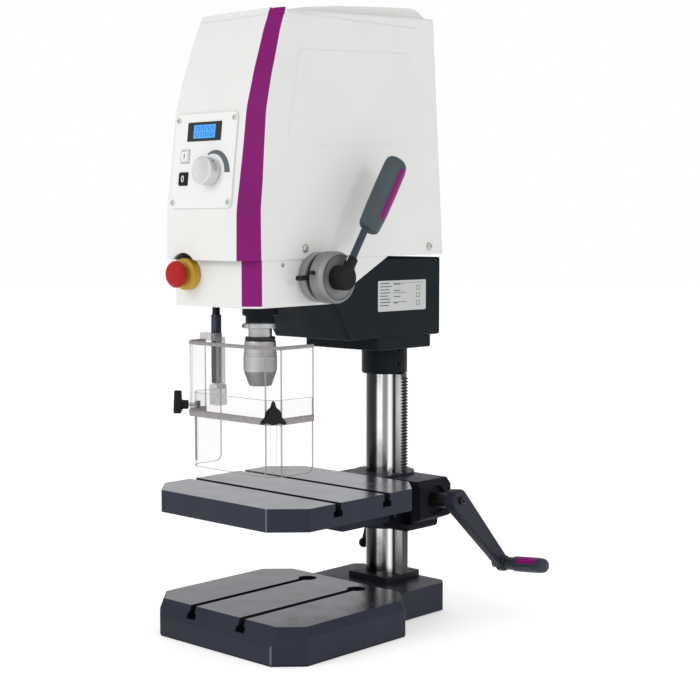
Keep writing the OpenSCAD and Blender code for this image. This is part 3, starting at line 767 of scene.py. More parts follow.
hood_levels = sorted(
    {round(z, 3) for z, y in HOOD_FRONT if z < 960} | set(range(670, 960, 24)) | {SEAM_Z, 990.0}
)
hood = shell_loft(
    "hood", hood_levels,
    lambda z: chamfer_ring(
        hood_half(z), steps(z, HOOD_FRONT), hood_back_y(z), steps(z, STRIPE_FRONT), steps(z, STRIPE_SIDE),
    ),
    (2, 15),
)
with edited(hood) as bm:
    slope = Vector((0, -TOP_RISE, TOP_RUN)).normalized()
    cutting = bmesh.ops.bisect_plane(
        bm, geom=bm.verts[:] + bm.edges[:] + bm.faces[:], plane_co=Vector((0, TOP_Y, TOP_Z)) * MM,
        plane_no=slope, clear_outer=True,
    )
    rim = [g for g in cutting["geom_cut"] if isinstance(g, bmesh.types.BMEdge)]
    lid = bmesh.ops.contextual_create(bm, geom=rim)["faces"]
    for f in lid:
        f.material_index = 0
    bmesh.ops.recalc_face_normals(bm, faces=bm.faces)
    bmesh.ops.bevel(
        bm, geom=rim, offset=4.5 * MM, offset_type="OFFSET", segments=4, profile=0.5, affect="EDGES",
    )
paint(hood, WHITE, MAGENTA)
hollow(hood, 3.6)


def sink(o, low, high, drop):
    """Lowers the points between two heights: by drop mm at the front, by nothing behind y = -150."""
    for v in o.data.vertices:
        if low < v.co.z / MM < high:
            v.co.z -= drop * MM * max(0.0, (-150 - v.co.y / MM) / 235)


sink(hood, 580, 590, 4.5)
ridge_line = [(-294, 941.2), (-239, 951), (-175, 959), (-85, 967), (-10, 972.4), (2, 972.0), (21, 961)]
verts, faces = [], []
for y, z in ridge_line:
    s = min(1.0, (z - top_z(y)) / 12)
    low = top_z(y) - 2.5
    for x, zz in (
        (-66, low), (-66 + 1.5 * s, z - 3.0 * s), (-62, z - 0.6 * s), (-57, z), (57, z),
        (62, z - 0.6 * s), (66 - 1.5 * s, z - 3.0 * s), (66, low),
    ):
        verts.append((x, y, max(zz, low + 0.3) if zz != low else low))
for k in range(len(ridge_line) - 1):
    for i in range(8):
        j = (i + 1) % 8
        faces.append((k * 8 + i, k * 8 + j, k * 8 + 8 + j, k * 8 + 8 + i))
faces.append(tuple(range(8)))
faces.append(tuple(range(8 * len(ridge_line) - 8, 8 * len(ridge_line))))
ridge = raw("ridge", verts, faces)
bevel(ridge, 1.5, 2, 20)
paint(ridge, WHITE)


def side_plate(name, side):
    pts = fillet([(-281, 884, 13), (-308, 746, 13), (-22, 757, 13), (-34, 898, 13)], 8)
    o = prism(name, pts, side * 87.0, side * 88.8, "x", grow=-1.2)
    for v in o.data.vertices:
        v.co.x -= side * (HOOD_HW * MM - hood_half(v.co.z / MM) * MM)
    return paint(o, WHITE)


union(hood, ridge, side_plate("plate_right", 1), side_plate("plate_left", -1))
PANEL = (
    shift(5, -390.15, 654) @ turn(-6.74, "X") @ Matrix((
        (1, 0, 0, 0), (0, 0, -1, 0), (0, 1, 0, 0), (0, 0, 0, 1),
    ))
)
ESTOP = Vector((-50, -391, 558))
DIAL_X, DIAL_UP = 5, 52
BUTTON_X, START_UP, STOP_UP = -54, 76, 43


def button_room(up, low, high):
    """The square opening a push button moves in."""
    return box("button_room", (BUTTON_X - 10, up - 10, low), (BUTTON_X + 10, up + 10, high), PANEL)


notch = rod("notch", 31.5, (ESTOP.x, -430, ESTOP.z), (ESTOP.x, -366, ESTOP.z), 72)
knob_hole = rod("knob_hole", 4.6, (10, -410, 709), (10, -350, 702), 32)
button_holes = [button_room(up, -8, 3) for up in (START_UP, STOP_UP)]
cut(hood, notch, knob_hole, *button_holes)
done(hood, "frame", ["upper_hood"], 30)

# ---------------------------------------------------------------- lower cover

cover = shell_loft("cover", (514, 583.3), lambda z: chamfer_ring(85.5, -376, 45.5, 24, 15.5), (2, 15))
with edited(cover) as bm:
    for f in bm.faces:
        if len(f.verts) > 4:
            bm.faces.remove(f)
            break
    bottom = [e for e in bm.edges if e.is_boundary and max(v.co.z for v in e.verts) < 0.52]
    bmesh.ops.contextual_create(bm, geom=bottom)
    bmesh.ops.recalc_face_normals(bm, faces=bm.faces)
    bmesh.ops.bevel(
        bm, geom=bottom, offset=3.0 * MM, offset_type="OFFSET", segments=4, profile=0.5, affect="EDGES",
    )
paint(cover, WHITE, MAGENTA)
hollow(cover, 3.0)
sink(cover, 560, 590, 4.5)
sink(cover, 505, 560, 3.8)
rear = prism(
    "rear", [(-217, 490), (-217, 514), (-86, 583.2), (-86, 610), (90, 610), (90, 490)], -120, 120, "x",
)
boss_gap = plug("boss_gap", 30, 0, 40, 96, shift(0, SPINDLE_Y, 500))
web_gap = box("web_gap", (-42.5, SPINDLE_Y, 500), (42.5, -170, 530))
sill_gap = box("sill_gap", (-82.4, -222, 500), (82.4, -190, 521))
post_gap = rod("post_gap", 9.0, (POST_X, POST_Y, 500), (POST_X, POST_Y, 530), 48)
stop_gap = rod("stop_gap", 11.6, (ESTOP.x, -390, ESTOP.z), (ESTOP.x, -360, ESTOP.z), 48)
hub_gap = rod("hub_gap", 24.5, (70, FEED_Y, FEED_Z), (100, FEED_Y, FEED_Z), 72)
end_gap = rod("end_gap", 9.5, (-100, FEED_Y, FEED_Z), (-70, FEED_Y, FEED_Z), 48)
cut(cover, rear, boss_gap, web_gap, sill_gap, post_gap, stop_gap, hub_gap, end_gap)
done(cover, "frame", ["lower_cover"], 30)

# ---------------------------------------------------------------- fasteners


def socket_screw(name, r, head, shank, length, place, hex_r, dome=0.3, mat=None):
    """A screw whose head stands along +Z of its place, from 0 to head, with a hex socket."""
    o = turned(
        name,
        [
            (0, -length), (shank - 0.4, -length), (shank, -length + 0.6), (shank, 0), (r, 0),
            (r, head, head * dome), (0, head + 0.01),
        ],
        5, 40, place,
    )
    hexagon = [
        (hex_r * math.cos(math.radians(60 * k)), hex_r * math.sin(math.radians(60 * k)))
        for k in range(6)
    ]
    cut(o, prism(name + "_socket", hexagon, head * 0.35, head + 2, "z", place))
    return paint(o, mat or ZINC)


screws = []
for s in (-1, 1):
    for y in (-274, 8):
        place = along((s * 88.05, y, 596), (s, 0, 0))
        washer = paint(
            turned("washer", [(3, 0), (6.4, 0), (6.4, 0.9, 0.4), (3, 0.9)], 3, 40, place), ZINC,
        )
        lifted = along((s * 88.95, y, 596), (s, 0, 0))
        screws += [washer, socket_screw("screw", 4.9, 2.7, 2.8, 7.5, lifted, 1.9, 0.7)]
side_plug = socket_screw("side_plug", 3.2, 0.7, 1.6, 4, along((85.6, -318, 572), (1, 0, 0)), 1.1, 0.7)
hood_screws = together("hood_screws_v", screws + [side_plug])
done(hood_screws, "frame", ["hood_screws"])

# ---------------------------------------------------------------- control panel


def panel_flat(name, pts, lo, hi, mat):
    return paint(prism(name, pts, lo, hi, "z", PANEL), mat)


def on_panel(x, up, out=0.0):
    return PANEL @ shift(x, up, out)


def ring_flat(name, outer, inner, lo, hi, mat):
    """A printed outline: the strip between two outlines with the same number of points."""
    n = len(outer)
    verts = [(x, y, z) for z in (lo, hi) for pts in (outer, inner) for x, y in pts]
    faces = []
    for i in range(n):
        j = (i + 1) % n
        faces += [
            (i, j, n + j, n + i), (2 * n + i, 3 * n + i, 3 * n + j, 2 * n + j),
            (i, 2 * n + i, 2 * n + j, j), (n + i, n + j, 3 * n + j, 3 * n + i),
        ]
    return paint(raw(name, verts, faces, PANEL), mat)


plate = panel_flat("panel", window(-80, 0, 51, 138, 8, 8), 0.2, 3.2, FOIL)
bevel(plate, 0.5, 2)
pockets = [
    button_room(START_UP, -3, 6), button_room(STOP_UP, -3, 6),
    box("pocket", (-52.5, 97.5, -3), (20.5, 125.5, 6), PANEL),
    plug("pocket", 4.2, -3, 6, 32, on_panel(DIAL_X, DIAL_UP)),
]
cut(plate, *pockets)
paint(plate, FOIL)


def scale_arc():
    """The speed scale: a strip that widens as it runs clockwise round the knob."""
    outer, inner = [], []
    steps = 40
    for k in range(steps + 1):
        t = k / steps
        a = math.radians(112 - 114 * t)
        grow = t ** 0.75
        ri, ro = 26.0 + 2.2 * t, 27.6 + 12.2 * grow
        outer.append((DIAL_X + ro * math.cos(a), DIAL_UP + ro * math.sin(a)))
        inner.append((DIAL_X + ri * math.cos(a), DIAL_UP + ri * math.sin(a)))
    return outer + inner[::-1]


arc = panel_flat("arc", scale_arc(), 3.1, 3.32, LINE)
edge_line = ring_flat(
    "edge_line", window(-76, 4, 47, 134, 6, 6), window(-75.6, 4.4, 46.6, 133.6, 5.6, 6), 3.15, 3.26, FOIL,
)
panel = together("panel_v", [plate, arc, edge_line])
done(panel, "frame", ["control_panel"])

bezel = panel_flat("bezel", window(-52.4, 97.6, 20.4, 125.4, 1.5, 4), 0.3, 4.0, INK)
bevel(bezel, 0.4, 2)
cut(bezel, box("window", (-40, 101.5, 2.2), (8, 121.5, 8), PANEL))
done(paint(bezel, INK), "frame", ["display_bezel"])

glass = panel_flat("glass", window(-39.9, 101.6, 7.9, 121.4, 0.8, 3), 2.25, 3.4, SCREEN)
strokes = []
for d in range(4):
    cx = -31.2 + d * 10.1
    lean = 0.6
    for kx, ky, upright in ((0, 0, 0), (0, 2, 0), (-1, 0.5, 1), (1, 0.5, 1), (-1, 1.5, 1), (1, 1.5, 1)):
        x0, y0 = cx + kx * 2.9 + (ky - 1) * lean, 104.9 + ky * 6.6
        w, h = (0.62, 2.75) if upright else (2.35, 0.62)
        tip = 0.6
        if upright:
            pts = [
                (x0 - w, y0 - h + tip), (x0, y0 - h), (x0 + w, y0 - h + tip), (x0 + w, y0 + h - tip),
                (x0, y0 + h), (x0 - w, y0 + h - tip),
            ]
        else:
            pts = [
                (x0 - w, y0), (x0 - w + tip, y0 - h), (x0 + w - tip, y0 - h), (x0 + w, y0),
                (x0 + w - tip, y0 + h), (x0 - w + tip, y0 + h),
            ]
        strokes.append(panel_flat("stroke", pts, 3.35, 3.5, LCD_DARK))
screen = together("screen_v", [glass] + strokes)
done(screen, "frame", ["display_screen"])


def push_button(name, up, mat):
    outline = window(BUTTON_X - 9, up - 9, BUTTON_X + 9, up + 9, 1.8, 5)
    return bevel(panel_flat(name, outline, -2.0, 5.6, mat), 0.7, 3)


start = push_button("start", START_UP, FOIL)
start_line = ring_flat(
    "start_line", window(-61.6, 68.4, -46.4, 83.6, 1.2, 5), window(-61.1, 68.9, -46.9, 83.1, 0.8, 5),
    5.55, 5.72, LINE,
)
start_bar = panel_flat("start_bar", window(-54.8, 71.8, -53.2, 80.2, 0.4, 3), 5.55, 5.72, INK)
done(together("start_v", [start, start_line, start_bar]), "start_button", ["start_button"])

stop = push_button("stop", STOP_UP, BLACK)


def oval(cx, cy, rx, ry, n=36):
    return [
        (cx + rx * math.cos(2 * math.pi * k / n), cy + ry * math.sin(2 * math.pi * k / n))
        for k in range(n)
    ]


stop_ring = ring_flat("stop_ring", oval(-54, 43, 3.0, 4.9), oval(-54, 43, 1.7, 3.6), 5.55, 5.72, PALE)
done(together("stop_v", [stop, stop_ring]), "stop_button", ["stop_button"])


speed = turned(
    "speed",
    [
        (0, -10), (3.6, -10), (3.6, 3.5), (17.5, 3.5), (20.2, 3.5, 0.6), (20.5, 8.0, 0.4), (20.0, 8.4),
        (20.0, 9.4), (20.4, 9.8), (20.4, 22.4, 1.1), (19.0, 23.4, 0.5), (14.0, 23.2, 0.3),
        (13.6, 22.9, 0.3), (5.0, 22.7), (0, 22.6),
    ],
    4, 120, on_panel(DIAL_X, DIAL_UP),
)
mark_dir = Vector((math.cos(math.radians(42)), math.sin(math.radians(42)), 0))
mark_place = on_panel(DIAL_X, DIAL_UP, 15) @ along(mark_dir * 18.4, mark_dir)
cut(speed, plug("mark", 1.6, 0, 4, 28, mark_place))
paint(speed, KNOB)
mark_fill = paint(plug("mark_fill", 1.5, 0.1, 0.6, 28, mark_place), INK)
done(together("speed_v", [speed, mark_fill]), "speed_knob", ["speed_knob"])

panel_bolts = []
for x in (-74, 46):
    for up in (8, 129):
        panel_bolts.append(socket_screw("panel_bolt", 3.9, 1.9, 1.9, 8, on_panel(x, up, 3.2), 1.3, 0.75))
done(together("panel_screws_v", panel_bolts), "frame", ["panel_screws"])

# ---------------------------------------------------------------- emergency stop


def facing(y, x=ESTOP.x, z=ESTOP.z):
    """A placement whose Z comes out to the front."""
    return along((x, y, z), (0, -1, 0), (1, 0, 0))


collar = turned(
    "collar",
    [
        (8.1, -20), (11, -20), (11, 0.2), (22.5, 0.2), (23.4, 1.2, 0.5), (23.4, 12.2, 0.8),
        (22.4, 13.2, 0.5), (20.4, 13.6, 0.4), (18.6, 14.6, 0.5), (8.1, 14.6),
    ],
    4, 96, facing(-376.2),
)
done(paint(collar, YELLOW), "frame", ["estop_collar"])

mushroom = turned(
    "mushroom",
    [
        (0, -34), (7.9, -34), (7.9, 0), (14.5, 0), (18.4, 0.4, 0.6), (19.9, 2.6, 1.2), (20.0, 6.0, 1.5),
        (18.4, 9.2, 2.0), (17.0, 10.2, 1.2), (16.2, 11.6, 1.6), (13.0, 12.6, 1.6), (7.0, 12.95),
        (0, 13.0),
    ],
    6, 120, facing(-398.9),
    flute=lambda r, z, a: r - (
        0.45 * max(0.0, math.cos(12 * a)) ** 3 if 14 < r < 21 and 0.5 < z < 9.5 else 0.0
    ),
)
done(paint(mushroom, RED), "estop_button", ["estop_button"], 50)

# ---------------------------------------------------------------- head casting

block = soft_prism(
    "block",
    [(43.8, 578.8, 3), (43.8, 453.7, 4), (-170.6, 453.7, 4), (-205.5, 509, 60), (-234, 578.8, 3)], 6,
    -CAST_HW, CAST_HW, "x",
)
bevel(block, 3.0, 3, 25)
sill = prism("sill", window(-79, -107, 79, 27, 7, 5), 434.1, 455, "z")
bevel(sill, 1.8, 3, 35)
web = box("web", (-40, SPINDLE_Y, 509.2), (40, -200, 578.6))
boss = turned(
    "boss",
    [
        (0, 484.1), (22, 484.1, 1.5), (22, 494.2, 1), (25, 494.2), (27, 496.4, 1.5), (27, 578.6),
        (0, 578.6),
    ],
    4, 128, SPINDLE,
)
union(block, sill, web, boss)
column_bore = plug("column_bore", COLUMN_R + 0.1, 400, 574.2, 128)
quill_bore = plug("quill_bore", 18.15, 400, 700, 128, SPINDLE)
collar_room = plug("collar_room", 27, 440, 483.9, 96, SPINDLE)
shaft_bore = rod("shaft_bore", 8.2, (-100, FEED_Y, FEED_Z), (100, FEED_Y, FEED_Z), 64)
pinion_room = rod("pinion_room", 20.6, (-13.5, FEED_Y, FEED_Z), (13.5, FEED_Y, FEED_Z), 96)
gland_bore = rod("gland_bore", 6.15, (40, 28, 480), (40, 68, 480), 48)
cut(block, column_bore, quill_bore, collar_room, shaft_bore, pinion_room, gland_bore)
done(paint(block, CAST_DARK), "frame", ["head_casting"], 30)

ring = turned(
    "ring", [(30.1, 388.2), (35.8, 388.2), (37.5, 390, 1.2), (37.5, 433.9), (30.1, 433.9)], 4, 128,
)
grub_holes = [rod("grub_hole", 3.4, (33.5, -8, z), (40, -8, z), 28) for z in (404, 427)]
cut(ring, *grub_holes)
paint(ring, CAST_DARK)
grubs = [
    socket_screw("grub", 3.3, 2.6, 3.2, 1.0, along((32.6, -8, z), (1, 0, 0)), 1.7, 0.2, BLACK_STEEL)
    for z in (404, 427)
]
done(together("collar_v", [ring] + grubs), "frame", ["column_collar"])

LABEL_SHIFT = shift(0, 12.5, 0)
label = prism("label", window(-121, 495.5, -6, 543.5, 2.5, 5), 82.15, 83.0, "x", LABEL_SHIFT)
bevel(label, 0.25, 2)
paint(label, LABEL)
marks = []


def label_bar(y0, z0, y1, z1, mat=LINE):
    marks.append(
        paint(
            prism("mark", [(y0, z0), (y1, z0), (y1, z1), (y0, z1)], 82.95, 83.08, "x", LABEL_SHIFT), mat,
        )
    )


random.seed(11)
for k in range(8):
    z = 538.4 - k * 4.9
    label_bar(-116, z, -116 + random.uniform(17, 27), z + 1.5)
    if k in (0, 3, 6):
        label_bar(-86, z, -54, z + 0.8)
    if k % 2 == 0:
        label_bar(-84, z - 1.6, -84 + random.uniform(10, 20), z - 0.2)
for k, z in enumerate((531, 519, 507)):
    label_bar(-30, z - 3.5, -29, z + 3.5)
    label_bar(-22, z - 3.5, -21, z + 3.5)
    label_bar(-29, z - 3.5, -22, z - 2.6)
    label_bar(-29, z + 2.6, -22, z + 3.5)
label_bar(-52, 539, -12, 539.6)
done(together("label_v", [label] + marks), "frame", ["label_plate"])

gland = turned(
    "gland",
    [
        (3.5, -12), (6, -12), (6, 0.1), (9.5, 0.1), (9.5, 5.5, 0.6), (8.2, 6.2, 0.3), (8.2, 10.4, 1.2),
        (5.6, 12, 0.6), (3.5, 12),
    ],
    4, 72, along((40, 44.05, 480), (0, 1, 0)),
    flute=lambda r, z, a: r if not (r > 9 and 0.5 < z < 5.2) else 9.5 - 0.5 * abs(math.sin(3 * a)),
)
done(paint(gland, BLACK), "frame", ["cable_gland"])

# ---------------------------------------------------------------- column and rack

column = turned(
    "column", [(24.5, 47.2), (29.2, 47.2), (COLUMN_R, 48), (COLUMN_R, 572.8), (29, 573.9), (24.5, 573.9)],
    2, 200,
)
cut(column, box("rack_flat", (28.98, -12, 57.5), (40, 12, 387.7)))
done(paint(column, COLUMN), "frame", ["column"])

PITCH = math.pi * 1.6
RACK_Z0 = GEAR_Z - 3 * PITCH
teeth = int((386 - RACK_Z0) / PITCH)
rack_pts = [(29.02, 57.7), (46, 57.7), (46, RACK_Z0 - PITCH * 0.7)]
for i in range(teeth):
    c = RACK_Z0 + i * PITCH
    rack_pts += [
        (42.5, c - PITCH * 0.3), (45.6, c - PITCH * 0.14), (46, c - PITCH * 0.10), (46, c + PITCH * 0.10),
        (45.6, c + PITCH * 0.14), (42.5, c + PITCH * 0.3),
    ]
rack_pts += [(42.5, 387.6), (29.02, 387.6)]
SLANT = 0.16
rack = prism("rack_v", rack_pts, 7.0, -7.0, "y")
for v in rack.data.vertices:
    if v.co.z > 0.143 and v.co.x > 0.042:
        v.co.z += SLANT * (v.co.y + 0.007)
paint(rack, RACK, RACK_SIDE)
paint_where(rack, 1, lambda c, n: abs(n.y) > 0.9)
done(rack, "frame", ["rack"], 25)

# ---------------------------------------------------------------- foot


def slab(hw, y0, y1, ch, r=5.0):
    """The plan of a slab with its four corners cut at 45 degrees, the cut corners softened."""
    return fillet(
        [
            (-hw + ch, y0, r), (hw - ch, y0, r), (hw, y0 + ch, r), (hw, y1 - ch, r), (hw - ch, y1, r),
            (-hw + ch, y1, r), (-hw, y1 - ch, r), (-hw, y0 + ch, r),
        ],
        5,
    )


def underside_pockets(pitch_x, y0, y1, pitch_y, low, high):
    """Three pockets across in two rows, 80 wide, the front row from y0 to y1."""
    return [
        box(
            "underside", (i * pitch_x - 40, y0 + j * pitch_y, low),
            (i * pitch_x + 40, y1 + j * pitch_y, high),
        )
        for i in (-1, 0, 1) for j in (0, 1)
    ]


foot_plan = slab(159.4, -381.4, -92, 37.3, 6)
base = prism("base_v", foot_plan, 2.6, 42.0)
brow = prism("brow", foot_plan, 41.9, 57.0, "z", None, -5.5)
ledge = prism("ledge", slab(100, -150, 45, 12, 4), 1.0, 47.0)
union(base, brow, ledge)
nose_cut = prism("nose_cut", [(-400, 60), (-370.5, 60), (-381.6, 28), (-400, 28)], -200, 200, "x")
cuts = [nose_cut]
for s in (-FOOT_SLOT_X, FOOT_SLOT_X):
    cuts.append(box("neck", (s - NECK_HW, -395, 46), (s + NECK_HW, SLOT_END_Y, 60)))
    cuts.append(box("tee", (s - TEE_HW, -395, 37), (s + TEE_HW, SLOT_END_Y, 46)))
    cuts.append(plug("pocket", 15, 37, 60, 64, shift(s, SLOT_END_Y, 0)))
    cuts.append(plug("bolt_hole", 6.5, -5, 60, 48, shift(s, SLOT_END_Y, 0)))
cuts += underside_pockets(94, -353, -277, 86, -5, 26)
for x, y in FLANGE_BOLTS:
    cuts.append(plug("tapped", 3.2, 27, 60, 32, shift(x, y, 0)))
cut(base, *cuts)
bevel(base, 0.9, 2, 28)
paint(base, PAINT, GROUND_Y, PAINT_SHADE, WORN)


def in_slot(c):
    """True inside the foot's two T-slots and the round pockets at their ends."""
    across, along_slot = abs(c.x) - FOOT_SLOT_X, c.y - SLOT_END_Y
    straight = abs(across) < 9.8 and along_slot < 1 and c.z > 36.8
    return c.z < 56.0 and (straight or across ** 2 + along_slot ** 2 < 226)


# Painted shade: the darker slate inside the foot's T-slots and round pockets.
paint_where(base, 2, lambda c, n: in_slot(c))
paint_where(base, 1, lambda c, n: n.z > 0.98 and c.z > 56.9)
paint_where(base, 3, lambda c, n: n.y < -0.6 and 0.15 < n.x < 0.62 and c.y < -330)
# Painted contact shadow: a thin rim just inside the foot's bottom edge, in near-black plastic, stands in
# for the dark line where the foot meets the floor.
contact_shadow_rim = prism("contact_shadow_rim", slab(158.8, -380.8, -92.6, 37.3, 5), 0.05, 4.0)
cut(contact_shadow_rim, prism("rim_gap", slab(150, -372, -101, 35, 4), -2, 12))
bevel(contact_shadow_rim, 0.8, 2, 30)
paint(contact_shadow_rim, BLACK)
done(together("foot_v", [base, contact_shadow_rim]), "frame", ["base"], 30)

flange = prism("flange", window(-42.3, -42.3, 42.3, 42.3, 3, 4), 47.1, 57.4)
cuts = [plug("bore", COLUMN_R + 0.1, 40, 70, 128)]
bolts = []
for x, y in FLANGE_BOLTS:
    spot = shift(x, y, 0)
    cuts.append(lathe("sink", [(0, 40), (3.2, 40), (3.2, 53), (5.8, 53), (5.8, 70), (0, 70)], 48, spot))
    spot = shift(x, y, 53.1)
    bolts.append(socket_screw("bolt", 5.3, 4.9, 3.0, 24, spot, 2.6, 0.25, BLACK_STEEL))
cut(flange, *cuts)
bevel(flange, 1.3, 3, 32)
done(paint(flange, PAINT_DARK), "frame", ["foot_flange"], 30)
done(together("foot_bolts", bolts), "frame", ["flange_screws"])

# ---------------------------------------------------------------- table

table = prism("table_v", slab(159, -382, -71, 44, 5), 194.0, 228.0)
hub = turned("hub", [(0, 136.2), (48, 136.2), (50, 138.5, 1.5), (50, 225.9), (0, 225.9)], 4, 128)
saddle = prism("saddle", window(-46, -150, 46, -10, 0, 2), 150.2, 225.8)
housing = soft_prism(
    "housing",
    [
        (20, 138.2, 0), (84, 138.2, 6), (85, 151, 3), (112, 161, 6), (112, 212, 4), (103, 221.8, 4),
        (20, 221.8, 0),
    ],
    6, -38, 38, "y",
)
bevel(housing, 2.2, 3, 25)
ear = soft_prism("ear", [(-9, 20, 0), (9, 20, 0), (9, 58, 2), (-9, 58, 2)], 4, 140.2, 222)
bevel(ear, 1.2, 2, 30)
union(table, hub, saddle, housing, ear)
cuts = []
for y in TABLE_SLOTS:
    cuts.append(box("neck", (-170, y - NECK_HW, 217), (170, y + NECK_HW, 232)))
    cuts.append(box("tee", (-170, y - TEE_HW, 208), (170, y + TEE_HW, 217)))
cuts += underside_pockets(92, -354, -270, 96, 190, 201)
cuts.append(plug("bore", COLUMN_R + 0.05, 120, 240, 128))
cuts.append(box("rack_way", (20, -7.6, 120), (46.8, 7.6, 240)))
cuts.append(rod("gear_room", 15.2, (GEAR_X, -10, GEAR_Z), (GEAR_X, 10, GEAR_Z), 64))
cuts.append(rod("pin_way", 4.02, (GEAR_X, -39.5, GEAR_Z), (GEAR_X, 21, GEAR_Z), 32))
cuts.append(box("scoop", (64, -40, 150), (92, -17, 212)))
cuts.append(box("slit", (-1.5, 25, 120), (1.5, 70, 240)))
cuts.append(rod("stud_way", 5.05, (-40, 44, 180), (40, 44, 180), 32))
CRANK = (shift(GEAR_X, 0, GEAR_Z) @ turn(-SHAFT_TILT, "Y") @ shift(0, 0, SHAFT_GAP))
SHAFT = CRANK @ ALONG_X
cuts.append(plug("worm_room", 7.6, -8, 42, 64, SHAFT))
cuts.append(plug("shaft_way", 8.05, 30, 62, 64, SHAFT))
cuts.append(plug("bush_way", 12.02, 50, 92, 64, SHAFT))
cuts.append(turned("recess", [(0, 51.5), (23, 51.5, 2.5), (24.5, 62), (24.5, 80), (0, 80)], 4, 96, SHAFT))
cut(table, *cuts)
bevel(table, 0.8, 2, 28)
paint(table, PAINT, GROUND_X, PAINT_SHADE, WORN)
# Painted shade: the darker slate inside the table's T-slots and on the gear housing beyond x = 60.
paint_where(table, 2, lambda c, n: min(abs(c.y - y) for y in TABLE_SLOTS) < 9.8 and 207 < c.z < 227)
paint_where(table, 2, lambda c, n: c.x > 60 and c.y > -45 and c.z < 227)
paint_where(table, 1, lambda c, n: n.z > 0.98 and c.z > 227.8)
paint_where(table, 3, lambda c, n: n.y < -0.6 and 0.15 < n.x < 0.62 and c.y < -330)
done(table, "table", ["table"], 30)

bush = turned(
    "bush", [(8.1, 51), (11.95, 51), (11.95, 82.2), (11.2, 83), (9.0, 83), (8.1, 82)], 2, 96, SHAFT,
)
paint(bush, BRONZE, BLACK_STEEL)
paint_where(bush, 1, lambda c, n: (SHAFT.inverted() @ c).to_2d().length > 9.6)
done(bush, "table", ["shaft_bush"])

# ---------------------------------------------------------------- crank

shaft = turned(
    "shaft", [(0, -7), (6.3, -7), (7.1, -6.2), (7.1, 31), (8, 31.2), (8, 92.2), (7.2, 93), (0, 93)], 2,
    96, SHAFT,
)
done(paint(shaft, TURNED), "crank", ["worm_shaft"])

ARM_LEN = math.hypot(112, 118)
ARM_TURN = math.degrees(math.atan2(112, 118))
ARM = CRANK @ shift(87, 0, 0) @ turn(ARM_TURN, "X")
ARM_END = ARM @ shift(0, 0, -ARM_LEN)
outline = []
for k in range(25):
    a = math.radians(-4 + 188 * k / 24)
    outline.append((18.5 * math.cos(a), 18.5 * math.sin(a)))
for k in range(19):
    a = math.radians(184 + 172 * k / 18)
    outline.append((11.4 * math.cos(a), -ARM_LEN + 11.4 * math.sin(a)))
arm = prism("arm", outline, 1.0, 22.0, "x", ARM)
for v in arm.data.vertices:
    u = ARM.inverted() @ (v.co / MM)
    if u.x > 10:
        u.x -= 7.0 * min(1.0, max(0.0, -u.z / ARM_LEN))
    v.co = (ARM @ u) * MM
bevel(arm, 3.2, 4, 35)
foot = turned(
    "foot", [(0, 2), (11.8, 2), (13, 3.4, 1), (13, 15, 3), (10.5, 18, 2), (0, 18)], 6, 96,
    ARM_END @ ALONG_X,
)
union(arm, foot)
cut(
    arm, plug("shaft_seat", 8.05, -4, 15, 64, ARM @ ALONG_X),
    plug("screw_way", 3.2, 10, 30, 40, ARM @ ALONG_X),
    plug("grip_way", 5.05, -10, 40, 48, ARM_END @ ALONG_X),
)
done(paint(arm, SLATE_PAINT), "crank", ["crank_arm"], 30)
crank_screw = socket_screw(
    "crank_screw_v", 6, 4.8, 3, 7, CRANK @ shift(109.2, 0, 0) @ ALONG_X, 2.5, 0.25, BLACK_STEEL,
)
done(crank_screw, "crank", ["crank_screw"])


CRANK_GRIP = ((33, 11.2), (36, 12.3), (60, 12.5), (84, 12.3), (92, 11.4), (96, 9.4), (98, 6.0))


def saddle_patch(name, radii, u0, u1, a0, a1, low, high, place, corner=4.0):
    """A patch on a turned shape, from low below to high above its surface, corners rounded."""
    nu, na = 30, 16
    top, under = [], []
    for i in range(nu + 1):
        u = u0 + (u1 - u0) * i / nu
        inset = min(u - u0, u1 - u)
        pull = 0.0
        if inset < corner:
            pull = corner - math.sqrt(max(0.0, corner ** 2 - (corner - inset) ** 2))
        for k in range(na + 1):
            r = steps(u, radii)
            mid, half = (a0 + a1) / 2, (a1 - a0) / 2
            half_k = half - math.degrees(pull / r)
            t = -1 + 2 * k / na
            a = math.radians(mid + half_k * t)
            edge = 1.0 if 0 < k < na and 0 < i < nu else 0.35
            top.append(((r + high * edge) * math.cos(a), (r + high * edge) * math.sin(a), u))
            under.append(((r - low) * math.cos(a), (r - low) * math.sin(a), u))
    n = len(top)
    faces = []
    row = na + 1
    for i in range(nu):
        for k in range(na):
            p = i * row + k
            faces.append((p, p + 1, p + 1 + row, p + row))
            faces.append((n + p, n + p + row, n + p + 1 + row, n + p + 1))
    rim = list(range(row)) + [i * row + na for i in range(1, nu + 1)]
    rim += [nu * row + k for k in range(na - 1, -1, -1)] + [i * row for i in range(nu - 1, 0, -1)]
    for p, q in zip(rim, rim[1:] + rim[:1]):
        faces.append((p, n + p, n + q, q))
    return raw(name, top + under, faces, place)


GRIP_AXIS = ARM_END @ ALONG_X
crank_grip = turned(
    "crank_grip_v",
    [
        (0, -9), (7, -9), (8, -8, 0.8), (8, 1.5), (4.97, 1.5), (4.97, 18.9), (9.8, 18.9),
        (10.5, 19.8, 0.6), (10.5, 32), (9.9, 33), (11.2, 33.2, 0.5), (12.3, 36, 2), (12.5, 60, 30),
        (12.3, 84, 6), (11.4, 92, 5), (9.2, 96, 3), (5.4, 97.9, 2), (0, 98),
    ],
    5, 128, GRIP_AXIS,
)
cut(crank_grip, saddle_patch("recess", CRANK_GRIP, 42.0, 82.0, 150, 210, 1.6, 3.0, GRIP_AXIS))
paint(crank_grip, SLATE_DARK, BLACK)
done(crank_grip, "crank_grip", ["crank_grip"], 35)
inlay = saddle_patch("crank_inlay", CRANK_GRIP, 42.2, 81.8, 150.5, 209.5, 1.5, 0.25, GRIP_AXIS)
done(paint(inlay, MAGENTA), "crank_grip", ["crank_grip_inlay"], 60)

# ---------------------------------------------------------------- table clamp lever

